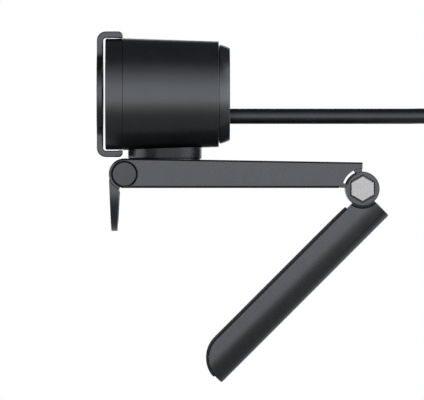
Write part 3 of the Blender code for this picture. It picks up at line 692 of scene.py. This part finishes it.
def strap():
    """The hook-and-loop strap round the hank and the plug, with its free end lapped over."""
    away, thick = 0.45, 0.9
    near, far = HANK_Y - HANK_OUTER - CABLE_R, HANK_Y + HANK_OUTER + CABLE_R
    left, shoulder, right = -13.48, 1.93, 10.15
    plug_near, plug_far = PLUG_MIDDLE[1] - PLUG_HALF_WIDTH, PLUG_MIDDLE[1] + PLUG_HALF_WIDTH
    middle = away + thick / 2
    corners = [(left - middle, near - middle), (shoulder, near - middle),
               (right + middle, plug_near - middle), (right + middle, plug_far + middle),
               (shoulder, far + middle), (left - middle, far + middle)]
    path = soften(corners, [2.4, 3.0, 2.2, 2.2, 3.0, 2.4], 8)

    def ribbon(points, looped, height):
        rings = []
        for i, here in enumerate(points):
            before = points[i - 1] if looped or i else here
            after = points[(i + 1) % len(points)] if looped or i + 1 < len(points) else here
            run = (Vector(after) - Vector(before)).normalized()
            out = Vector((run.y, -run.x))
            tall = height(i / (len(points) - 1))
            section = oblong((-thick / 2, -tall / 2), (thick / 2, tall / 2), 0.35, 3)
            rings.append([(here[0] + out.x * a, here[1] + out.y * a, sum(TIE_Z) / 2 + b)
                          for a, b in section])
        return rings

    def rounded_off(share):
        """The free end's height, which falls away in a curve at its tip."""
        past = max(0.0, (share - 0.86) / 0.14)
        return (full - 0.3) * sqrt(max(0.02, 1 - past ** 2))

    full = TIE_Z[1] - TIE_Z[0]
    loop = skin("strap_band", ribbon(path, True, lambda share: full), looped=True)
    dress(loop, "tie", "head", "cable_tie")
    side = left - middle - thick - 0.06
    lap = [(side + 0.12 * (1 - abs(1 - 2 * i / 24)), far - 5.0 - 17.0 * i / 24) for i in range(25)]
    end = skin("strap_free_end", ribbon(lap, False, rounded_off))
    dress(end, "tie", "head")
    return loop, end


def plug():
    """A moulded USB plug with a ribbed grip, a stepped strain relief and a folded metal shell."""
    x, y = PLUG_MIDDLE
    low, high = PLUG_Z
    rings = []
    half_x, half_y = 3.95, PLUG_HALF_WIDTH
    stations = [(0.0, 1.1), (0.25, 0.55), (0.8, 0.1), (1.4, 0.0)]
    for k in range(7):
        z = 4.2 + 1.5 * k
        stations += [(z, 0.0), (z + 0.22, 0.34), (z + 0.68, 0.34), (z + 0.9, 0.0)]
    stations += [(24.4, 0.0), (25.3, 0.12), (25.8, 0.5), (26.0, 1.0)]
    for along, less in stations:
        a, b = half_x - less, half_y - less
        section = oblong((x - a, y - b), (x + a, y + b), 2.2, 6)
        rings.append([(*point, low + along) for point in section])
    grip = dress(skin("plug_grip", rings), "plug", "head", "usb_plug_body", 40)
    profile = [(0.0, low + 0.6)]
    for k in range(5):
        r = 3.0 - 0.16 * k
        z = low - 0.1 - 1.5 * k
        profile += [(r, z), (r, z - 0.75), (r - 0.42, z - 0.85), (r - 0.42, z - 1.4)]
    profile += [(2.12, low - 8.2), (1.98, low - 8.3), (0.0, low - 8.3)]
    relief_sleeve = lathe("plug_strain_relief", profile, "Z", PLUG_MIDDLE, 48)
    dress(relief_sleeve, "plug", "head")
    metal_low, metal_high = PLUG_METAL_Z
    a, b = PLUG_METAL
    outer = oblong((x - a, y - b), (x + a, y + b), 0.5, 5)
    shell = slab("plug_shell", outer, (metal_low, metal_high), 0.08, "XY", 2)
    wall = 0.32
    mouth = oblong((x - a + wall, y - b + wall), (x + a - wall, y + b - wall), 0.25, 4)
    cuts = [slab("mouth", mouth, (metal_low + 3.0, metal_high + 2), 0, "XY")]
    for side in (-1, 1):
        for offset in (-3.0, 3.0):
            face = x + side * a
            cuts.append(block("window", (face - 0.9, y + offset - 1.0, -15.6),
                              (face + 0.9, y + offset + 1.0, -13.4), 0))
    combine(shell, cuts)
    dress(shell, "nickel", "head", "usb_plug_shell")
    tongue = block("plug_insert", (x - 1.85, y - 5.6, metal_low + 3.05),
                   (x - 0.15, y + 5.6, metal_high - 0.5), 0.12)
    dress(tongue, "insert", "head")
    contacts = []
    for index, offset in enumerate((-3.5, -1.0, 1.0, 3.5)):
        strip = block(f"plug_contact_{index + 1}", (x - 0.18, y + offset - 0.5, metal_low + 3.4),
                      (x - 0.02, y + offset + 0.5, metal_high - 1.2), 0.04, 2)
        contacts.append(dress(strip, "gold", "head"))
    return [grip, relief_sleeve, shell, tongue, *contacts]


lead = usb_lead()
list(strap())
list(plug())


# ---- clip arm --------------------------------

def clip_arm():
    rise = (HINGE[0] - PIVOT[0]) * tan(radians(ARM_SLOPE))
    lip_angle = degrees(acos((LIP_REAR - PIVOT[0]) / ARM_END_R))
    under_angle = 180 - degrees(asin((ARM_UNDERSIDE - HINGE[1]) / EAR_CLEARANCE_R))
    points = [(HINGE[0], PIVOT[1] + ARM_END_R - rise)]
    points += arc(PIVOT, ARM_END_R, 90 - ARM_SLOPE, 360 - lip_angle, 48)
    points.append((LIP_REAR, ARM_UNDERSIDE))
    points += arc(HINGE, EAR_CLEARANCE_R, under_angle, 90, 28)
    arm = slab("arm_body", points, (-HALF_WIDTH, HALF_WIDTH), 0.1)
    edges = []
    for sign in (-1, 1):
        rings = []
        for angle, further in [(150 - 5 * k, 0.0) for k in range(13)] + [(90 - ARM_SLOPE, 61.0)]:
            up = radians(angle)
            clear_of = 0.6 * (1 - eased((150 - angle) / 25))
            ring = []
            for x, rise in ((HALF_WIDTH + 0.2, -0.5), (HALF_WIDTH - 0.9, 0.05),
                            (HALF_WIDTH + 0.2, 0.3)):
                out = ARM_END_R + rise + clear_of
                ring.append((sign * x,
                             PIVOT[0] + out * cos(up) + further * sin(up),
                             PIVOT[1] + out * sin(up) - further * cos(up)))
            rings.append(ring)
        edges.append(skin("edge", rings))
    combine(arm, edges)
    boss = [(0.0, 4.0), (8.9, 4.0), (8.9, 7.26), (8.85, 7.31), (0.0, 7.31)]
    combine(arm, [lathe("boss", boss, "Z", SWIVEL, 96)], "UNION")
    combine(arm, [rod("knuckle_room", 5.15, (-6.9, 6.9), "X", HINGE, 96),
                  rod("lip_room", 4.2, (-6.5, 6.5), "X", PIVOT, 96)])
    ears = []
    for sign in (-1, 1):
        ear = arc(HINGE, EAR_R, SLOT[1] + 1.5, SLOT[0] + 358.5, 72)
        ear += arc(HINGE, EAR_TRIMMED_R, SLOT[0], SLOT[1], 16)
        ears.append(slab("ear", ear, sorted((sign * EAR_INNER, sign * HALF_WIDTH)), 0.2))
    combine(arm, ears, "UNION")
    necks = []
    for sign in (-1, 1):
        span = sorted((sign * (EAR_INNER + 0.7), sign * (HALF_WIDTH - 0.3)))
        for inner, start, end in ((3.8, 91.0, SLOT[0] - 0.5), (4.1, SLOT[1] + 0.5, 177.0)):
            points = arc(HINGE, 5.5, start, end, 8) + arc(HINGE, inner, end, start, 8)
            necks.append(slab("neck", points, span, 0))
    combine(arm, necks, "UNION")
    cuts = []
    for sign in (-1, 1):
        cuts.append(rod("disc_recess", DISC_R + 0.2, (sign * 9.4, sign * 12), "X", PIVOT, 96))
        hexagon = soften(arc(HINGE, 6.2 / sqrt(3), 30, 330, 5), 0.15, 3)
        cuts.append(slab("hex_recess", hexagon, sorted((sign * HEX_FLOOR, sign * 12)), 0))
    cuts += [
        rod("pin_hole", 1.6, (-12, 12), "X", PIVOT),
        rod("bolt_hole", 1.6, (-12, 12), "X", HINGE),
        rod("insert_hole", 4.85, (0, 5.6), "Z", INSERT),
        rod("washer_recess", 6.1, (6.7, 9), "Z", SWIVEL),
        rod("swivel_hole", 1.6, (-2, 9), "Z", SWIVEL),
        rod("counterbore", 3.2, (-2, 3.2), "Z", SWIVEL),
    ]
    combine(arm, cuts)
    pocket = block("pad_pocket", (-9.1, -11.0, -2.0), (9.1, PAD_REAR + 0.1, PAD_TOP + 0.1), 0)
    combine(arm, [pocket])
    dress(arm, "shell", "clip", "clip_arm")


def arm_fittings():
    front = [(-9.0, PAD_REAR), (-9.0, -10.9), (-6.7, -10.9), (-6.7, -5.6), (6.7, -5.6),
             (6.7, -10.9), (9.0, -10.9), (9.0, PAD_REAR)]
    pad = slab("arm_grip_pad", soften(front, 0.5, 4), (0.0, PAD_TOP), 0.12, "XY", 3)
    combine(pad, [rod("pad_hole", 5.05, (-1.0, 3.0), "Z", INSERT)])
    dress(pad, "pad", "clip", "arm_pad")
    thread = []
    for k in range(4):
        z = 0.75 + 1.2 * k
        thread += [(2.62, z), (2.95, z + 0.5), (2.95, z + 0.62), (2.62, z + 1.1)]
    outside = [(4.6, 5.5), (4.75, 5.35), (4.75, 0.6), (4.6, 0.45), (2.95, 0.45)]
    insert = lathe("tripod_thread", outside + thread + [(2.75, 5.5)], "Z", INSERT, 64, solid=False)
    dress(insert, "brass", "clip", "tripod_insert", 50)
    face = DISC_FACE
    for name, sign, node in (("pin_head", 1, "front_hinge_pin"),
                             ("pin_cap", -1, "front_hinge_cap")):
        profile = [(0.0, face), (DISC_R - 0.46, face), (DISC_R - 0.40, face - 0.04),
                   (DISC_R - 0.03, face - 0.55), (DISC_R, face - 0.60), (DISC_R, 9.5),
                   (1.5, 9.5), (1.5, 5.0), (0.0, 5.0)]
        disc = lathe(name, [(r, sign * s) for r, s in profile], "X", PIVOT, 96)
        dress(disc, "pin", "clip", node)


def hexagon_face(name, flats, span, chamfer, at):
    """A hexagonal head with a chamfered outer face; span runs from its seat to that face."""
    sign = 1 if span[1] > span[0] else -1
    face = span[1]
    rings = []
    for along, inwards in ((span[0], 0.0), (face - sign * 0.32, 0.0), (face - sign * 0.26, 0.015),
                           (face - sign * 0.04, chamfer - 0.05), (face, chamfer)):
        corners = arc(at, (flats - 2 * inwards) / sqrt(3), 30, 330, 5)
        rings.append([(along, *p) for p in soften(corners, 0.12, 3)])
    return skin(name, rings)


def rear_hinge_fittings():
    head = hexagon_face("hinge_bolt_head", BOLT_FLATS, (HEX_FLOOR + 0.1, 10.55), 0.30, HINGE)
    dress(head, "hex", "clip", "hinge_bolt", 25)
    nut = hexagon_face("hinge_nut_ring", NUT_FLATS, (-HEX_FLOOR - 0.1, -10.4), 0.30, HINGE)
    bore = [(0.0, -8.0), (BOLT_BORE_R, -8.0), (BOLT_BORE_R, -10.15), (1.85, -10.6), (0.0, -10.6)]
    combine(nut, [lathe("bore", bore, "X", HINGE, 48)])
    dress(nut, "hex", "clip", "hinge_nut", 25)
    profile = [(0.0, -10.0), (1.15, -10.0), (1.3, -9.85)]
    for k in range(6):
        z = -9.8 + 0.5 * k
        profile += [(1.5, z + 0.12), (1.5, z + 0.2), (1.28, z + 0.44)]
    shaft = lathe("hinge_bolt_thread", profile + [(0.0, -6.5)], "X", HINGE, 48)
    dress(shaft, "hex", "clip")


def pedestal():
    r = PEDESTAL_R + 0.1
    base = PEDESTAL_BASE - 0.07
    drum = [(1.6, base), (r - 0.35, base), (r - 0.16, base + 0.05), (r, base + 0.22), (r, 13.0),
            (1.6, 13.0)]
    post = lathe("pedestal_drum", drum, "Z", SWIVEL, 128, solid=False)
    above = block("above", (-12.0, -12.0, 0.0), (12.0, 12.0, 8.0), 0)
    slope = (BARREL_R - SHELL_REAR_R) / (SHELL_REAR - SHELL_FRONT)
    for vertex in above.data.vertices:
        vertex.co.z += (BARREL_Z - barrel_r(0.0) + 0.11) * MM + vertex.co.y * slope
    combine(above, [block("neck", (-2.0, -6.0, 5.0), (2.0, 6.0, 25.0), 0)])
    room = [(0.0, 20.0), (barrel_r(20.0) + 0.02, 20.0), (barrel_r(-20.0) + 0.02, -20.0),
            (0.0, -20.0)]
    combine(post, [above, lathe("room", room)])
    dress(post, "pedestal", "head", "swivel_pedestal")


def barrel_r(y):
    """The shell's outer radius, which narrows towards the rear."""
    share = (y - SHELL_FRONT) / (SHELL_REAR - SHELL_FRONT)
    return BARREL_R + (SHELL_REAR_R - BARREL_R) * share


# ---- lip -------------------------------------

def lip_face(z):
    """Y of the lip's rear face."""
    return LIP_REAR + (z - 0.15) * (LIP_TIP_REAR - LIP_REAR) / (-11.1 - 0.15)


def lip_front(z):
    """Y of the lip's front face, which stands upright from the round end down to its tip."""
    return PIVOT[0] - ARM_END_R + (PIVOT[1] - z) * (LIP_TIP_FRONT - PIVOT[0] + ARM_END_R) / (
        PIVOT[1] + 11.4)


def layer(name, outline, front, rear, soft, steps=4):
    """A layer across an outline in X and Z, between two faces that lean."""
    return skin(name, [[(a, face(b) + deep, b) for a, b in inset(outline, inwards)]
                       for face, deep, inwards in rounds((front, rear), soft, steps)])


def front_lip():
    top = PIVOT[1] - 1.3
    outline = arc((0.0, LIP_TONGUE_Z), LIP_TONGUE_R, 180, 360, 64)
    outline += [(LIP_TONGUE_R, top), (-LIP_TONGUE_R, top)]
    tongue = layer("lip_tongue", outline, lip_front, lip_face, 0.12)
    combine(tongue, [rod("room", 4.0, (sign * 6.3, sign * 13.0), "X", PIVOT, 96)
                     for sign in (-1, 1)])
    knuckle = [(0.0, -6.3), (3.7, -6.3), (3.9, -6.1), (3.9, 6.1), (3.7, 6.3), (0.0, 6.3)]
    combine(tongue, [lathe("knuckle", knuckle, "X", PIVOT, 96)], "UNION")
    flat = block("flat", (-8.0, LIP_REAR, -3.0), (8.0, -4.0, PIVOT[1] - 3.3), 0)
    combine(tongue, [flat])
    bore = rod("bore", BOLT_BORE_R, (-8.0, 8.0), "X", PIVOT, 48)
    pocket = layer("pocket", arc((0.0, LIP_TONGUE_Z), 8.75, 183.6, 356.4, 48),
                   lambda z: lip_face(z) - 0.55, lambda z: lip_face(z) + 3.0, 0.0, 1)
    combine(tongue, [bore, pocket])
    dress(tongue, "shell", "lip", "front_lip")
    pad = layer("lip_grip_pad", arc((0.0, LIP_TONGUE_Z), 8.6, 184.3, 355.7, 48),
                lambda z: lip_face(z) - 0.45, lambda z: lip_face(z) + 0.08, 0.12, 3)
    dress(pad, "pad", "lip", "lip_pad")


# ---- leg -------------------------------------

def rear_leg():
    thick = LEG_PAD_THICK + 0.02
    inner = LEG_INNER + thick
    middle = HALF_WIDTH - LEG_ROUND_R

    def section(near, less):
        """Across the leg: a flat inner face, flat sides and a round back."""
        side = [(HALF_WIDTH - 0.25, near), (HALF_WIDTH - 0.07, near + 0.07)]
        start = near + 0.25
        for k in range(25):
            y = start + (LEG_DEPTH - start) * sin(QUARTER * k / 24)
            rise = max(y - LEG_FLAT_SIDE, 0.0)
            side.append((middle + sqrt(max(LEG_ROUND_R ** 2 - rise ** 2, 0.0)), y))
        if near > LEG_FLAT_SIDE:
            for k, back in ((0, 0.25), (1, 0.07)):
                side[k] = (side[2][0] - back, side[k][1])
        shape = side + [(-x, y) for x, y in reversed(side)]
        return inset(shape, less) if less else shape

    start = LEG_TIP_R - LEG_LENGTH
    r = LEG_TIP_R - thick

    def near_at(drop):
        """The inner face's place, so far below the start of the tip's curve."""
        return LEG_INNER + LEG_TIP_R - sqrt(r * r - drop * drop)

    levels = [(0.0, inner, 0.3), (-0.08, inner, 0.1), (-0.3, inner, 0.0)]
    levels += [(-0.3 + (start + 0.3) * k / 12, inner, 0.0) for k in range(1, 13)]
    for k in range(1, 25):
        drop = r * sin(radians(80) * k / 24)
        levels.append((start - drop, near_at(drop), 0.0))
    for extra, less in ((0.24, 0.1), (0.32, 0.3)):
        levels.append((max(start - drop - extra, -LEG_LENGTH), near_at(drop), less))
    leg = skin("leg_body", [[(*point, z) for point in section(near, less)]
                            for z, near, less in levels])
    axis = (0.0, 0.0)
    knuckle = [(0.0, -6.05), (4.1, -6.05), (4.3, -5.85), (4.3, 5.85), (4.1, 6.05), (0.0, 6.05)]
    combine(leg, [lathe("knuckle", knuckle, "X", axis, 96)], "UNION")
    rooms = []
    for sign in (-1, 1):
        profile = [(0.0, sign * 6.0), (EAR_R, sign * 6.0), (EAR_CLEARANCE_R, sign * 5.86),
                   (EAR_CLEARANCE_R, sign * 13.0), (0.0, sign * 13.0)]
        rooms.append(lathe("room", profile, "X", axis, 128))
    combine(leg, rooms + [rod("bore", BOLT_BORE_R, (-8.0, 8.0), "X", axis, 48)])
    dress(tilt_leg(leg), "shell", "leg", "rear_leg")


def leg_grip_pad():
    centre = (LEG_INNER + LEG_TIP_R, LEG_TIP_R - LEG_LENGTH)
    straight = centre[1] + LEG_PAD_START
    line = [(LEG_INNER, straight * k / 16 - LEG_PAD_START, 180.0) for k in range(16)]
    line += [(*point, 180 + 88 * k / 24)
             for k, point in enumerate(arc(centre, LEG_TIP_R, 180, 268, 24))]
    width = HALF_WIDTH - 0.2
    rings = []
    for index, (y, z, angle) in enumerate(line):
        ends = min(index, len(line) - 1 - index)
        less = (0.12, 0.03)[ends] if ends < 2 else 0.0
        section = soften([(-width + less, LEG_PAD_THICK - less), (-width + less, less),
                          (width - less, less), (width - less, LEG_PAD_THICK - less)], 0.15, 3)
        away = (cos(radians(angle)), sin(radians(angle)))
        rings.append([(x, y - away[0] * depth, z - away[1] * depth) for x, depth in section])
    pad = skin("leg_grip_pad", rings)
    dress(tilt_leg(pad), "pad", "leg", "leg_pad")


# ---- barrel ----------------------------------

def barrel():
    shell = lathe("barrel_shell", soften([
        (SHELL_REAR_R, SHELL_REAR), (BARREL_R, SHELL_FRONT), (12.3, SHELL_FRONT),
        (11.6, SHELL_REAR),
    ], [0.16, 0.05, 0.05, 0.05], 4), sides=192, solid=False)
    combine(shell, [rod("swivel_room", 1.8, (9.0, 13.5), "Z", SWIVEL, 48)])
    dress(shell, "barrel", "head", "main_shell")
    ring = lathe("barrel_front_ring", soften([
        (RING_R, RING_REAR), (RING_R, BARREL_FRONT), (12.35, BARREL_FRONT), (12.35, -13.3),
        (10.9, -13.3), (10.9, -9.2), (12.1, -9.2), (12.1, RING_REAR),
    ], [0.05, 0.3, 0.2, 0, 0.1, 0, 0, 0], 5), sides=192, solid=False)
    dress(ring, "barrel", "head", "front_ring")
    dome = CAP_SEAM + 0.02
    face = [(0.0, CAP_FACE), (8.6, CAP_FACE), (8.75, CAP_FACE - 0.12), (9.0, CAP_FACE - 0.12),
            (9.15, CAP_FACE), (CAP_R - 1.0, CAP_FACE), (CAP_R - 0.9, CAP_FACE - 0.03)]
    edge = [(CAP_R + 0.03 - 0.85 * (k / 12) ** 1.35, dome + (CAP_FACE - 0.08 - dome) * k / 12)
            for k in range(12, -1, -1)]
    spigot = [(CAP_R - 0.25, CAP_SEAM), (CAP_R - 0.25, 13.5), (11.4, 13.5), (11.4, 10.5),
              (10.2, 10.5), (10.2, 14.7), (0.0, 14.7)]
    cap = lathe("barrel_rear_cap", face + edge + spigot, sides=192)
    hole = lathe("cable_hole", [(0.0, 12.0), (2.25, 12.0), (2.25, 15.75), (2.6, CAP_FACE + 0.02),
                                (2.6, 18.0), (0.0, 18.0)], "Y", (0.0, CABLE_Z), 64)
    combine(cap, [hole])
    dress(cap, "cap", "head", "rear_cap")
    sleeve = lathe("cable_sleeve", soften([
        (3.8, 14.6), (3.8, 11.8), (1.95, 11.8), (1.95, 16.1), (2.22, 16.1), (2.22, 14.6),
    ], [0.3, 0.3, 0, 0.1, 0.1, 0.1], 3), "Y", (0.0, CABLE_Z), 48, solid=False)
    dress(sleeve, "grommet", "head", "cable_grommet")


def optics():
    glass = lathe("cover_glass", [(0.0, -13.4), (12.1, -13.4), (12.2, -13.5), (12.2, -14.4),
                                  (12.0, -14.6), (0.0, -14.6)], sides=128)
    dress(glass, "glass", "head", "front_glass")
    mask = lathe("glass_mask", [(7.0, -13.32), (12.1, -13.32), (12.1, -13.385), (7.0, -13.385)],
                 sides=128, solid=False)
    dress(mask, "ring", "head")
    steps = [(5.0, -4.5), (5.0, -8.6), (6.8, -8.6), (6.8, -12.75), (6.65, -12.9), (5.75, -12.9)]
    for k in range(5):
        r, y = 5.65 - 0.12 * k, -12.75 + 0.36 * k
        steps += [(r, y), (r - 0.08, y + 0.26)]
    housing = lathe("lens_housing", steps + [(5.05, -10.9), (3.4, -10.9), (3.4, -4.5)], sides=96,
                    solid=False)
    dress(housing, "lens_black", "head", "lens_barrel")
    bow = [(5.0 * sin(turn), -12.55 + 1.05 * (1 - cos(turn)))
           for turn in (QUARTER * k / 12 for k in range(13))]
    element = lathe("lens_front_glass", [(0.0, -11.0), (5.0, -11.0)] + bow[::-1], sides=96)
    dress(element, "lens", "head", "lens_front_element")


# ---- privacy cover ---------------------------

def privacy_cover():
    """A bent strip with a round face, skinned over cross sections along its middle line."""
    half = COVER_THICK / 2
    bend = 1.5
    face = COVER_FRONT + half
    high, low = COVER_TOP - half, COVER_BOTTOM + half
    end = 1.1

    def tip(z, angle, order):
        """The last stretch of an arm: a nub inside and a rounded corner outside."""
        made = []
        for k in order:
            turn = QUARTER * k / 8
            y = COVER_REAR - end + end * sin(turn)
            out = half - end * (1 - cos(turn))
            inward = half + 0.10 * eased((y - COVER_REAR + 1.25) / 0.5)
            inward -= 0.12 * eased((y - COVER_REAR + 0.12) / 0.12)
            made.append((y, z, angle, out, inward))
        return made

    straight = [COVER_REAR - end + (face + bend - COVER_REAR + end) * k / 4 for k in range(1, 4)]
    line = tip(low, -90.0, range(8, -1, -1))
    line += [(y, low, -90.0, half, half) for y in straight]
    for k, (y, z) in enumerate(arc((face + bend, low + bend), bend, 270, 180, 10)):
        line.append((y, z, -90.0 - 9.0 * k, half, half))
    tab, blend = COVER_TAB_HALF_WIDTH, 2.5
    join = sqrt((COVER_DISC_R + blend) ** 2 - (tab + blend) ** 2)
    turn = degrees(asin(join / (COVER_DISC_R + blend)))
    outline = arc((0.0, 0.0), COVER_DISC_R, 0, turn, 22)
    outline += arc((tab + blend, join), blend, 180 + turn, 180, 8)[1:]
    widths = {}
    for x, rise in [(x, -z) for x, z in outline[:0:-1]] + outline:
        widths[len(line)] = x
        line.append((face, BARREL_Z + rise, -180.0, half, half))
    for k, (y, z) in enumerate(arc((face + bend, high - bend), bend, 180, 90, 10)):
        line.append((y, z, -180.0 - 9.0 * k, half, half))
    line += [(y, high, -270.0, half, half) for y in reversed(straight)]
    line += tip(high, -270.0, range(9))
    rings = []
    for index, (y, z, angle, out, inward) in enumerate(line):
        wide = widths.get(index, tab)
        soft = min(0.3, 0.45 * (out + inward))
        section = oblong((-wide, -inward), (wide, out), soft, 4)
        normal = (cos(radians(angle)), sin(radians(angle)))
        rings.append([(x, y + normal[0] * depth, z + normal[1] * depth) for x, depth in section])
    cover = skin("slide_cover", rings)
    dress(cover, "shell", "cover", "privacy_cover")


clip_arm()
arm_fittings()
rear_hinge_fittings()
front_lip()
rear_leg()
leg_grip_pad()
pedestal()
barrel()
optics()
privacy_cover()

# ---- what is carried over from the frame -----

KEPT = {
    "steel": ("swivel_bolt", "swivel_nut", "swivel_spring_washer", "pedestal_screw_front",
              "pedestal_screw_rear"),
    "screw": ("sensor_board_screw_left", "sensor_board_screw_right", "main_board_screw_left",
              "main_board_screw_right", "microphone_left", "microphone_right"),
    "dark_steel": ("hinge_washer_left", "hinge_washer_right"),
    "grommet": ("swivel_friction_washer",),
    "filter": ("lens_rear_element", "infrared_filter"),
    "board": ("sensor_board", "main_board", "microphone_board"),
    "chip": ("board_connector", "image_processor", "image_sensor", "lens_holder"),
    "cream": ("cable_socket",),
    "led": ("status_light",),
}
for look, names in KEPT.items():
    for name in names:
        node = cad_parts[name]
        node.data.materials.clear()
        node.data.materials.append(LOOKS[look])

# ---- floor -----------------------------------

def paper():
    """Pale paper with a painted glow: it emits light of its own, faint near the webcam and rising
    with distance, which leaves a darker painted shadow pool round the webcam. The glow carries the
    ground on into the white behind it, and lifts the webcam's underside a little."""
    made, shader, place = blank("floor_paper_painted_glow", roughness=0.9, emission_color=WHITE)
    tones(shader, noise(place, 0.01, 3.0), (0.30, 0.29, 0.27), (0.32, 0.31, 0.29))
    # Painted glow: emission that rises with distance from two points on either side of the webcam
    # along X.
    painted_glows = []
    for middle, strength, start, end in ((-120.0, 1.8, 250.0, 490.0), (70.0, 0.34, 65.0, 200.0)):
        aside = add(place, "VectorMath", {0: place, 1: (middle, 0.0, 0.0)}, operation="SUBTRACT")
        reach = add(place, "VectorMath", {0: aside.outputs["Vector"]}, operation="LENGTH")
        painted_glows.append(spread(reach.outputs["Value"], 0.0, strength, start, end))
    join(sums(*painted_glows), shader.inputs["Emission Strength"])
    return made


bpy.ops.mesh.primitive_plane_add(size=1.2, location=(0.0, 0.02, FLOOR_Z * MM))
floor = bpy.context.object
floor.name = "floor"
floor.data.materials.append(paper())
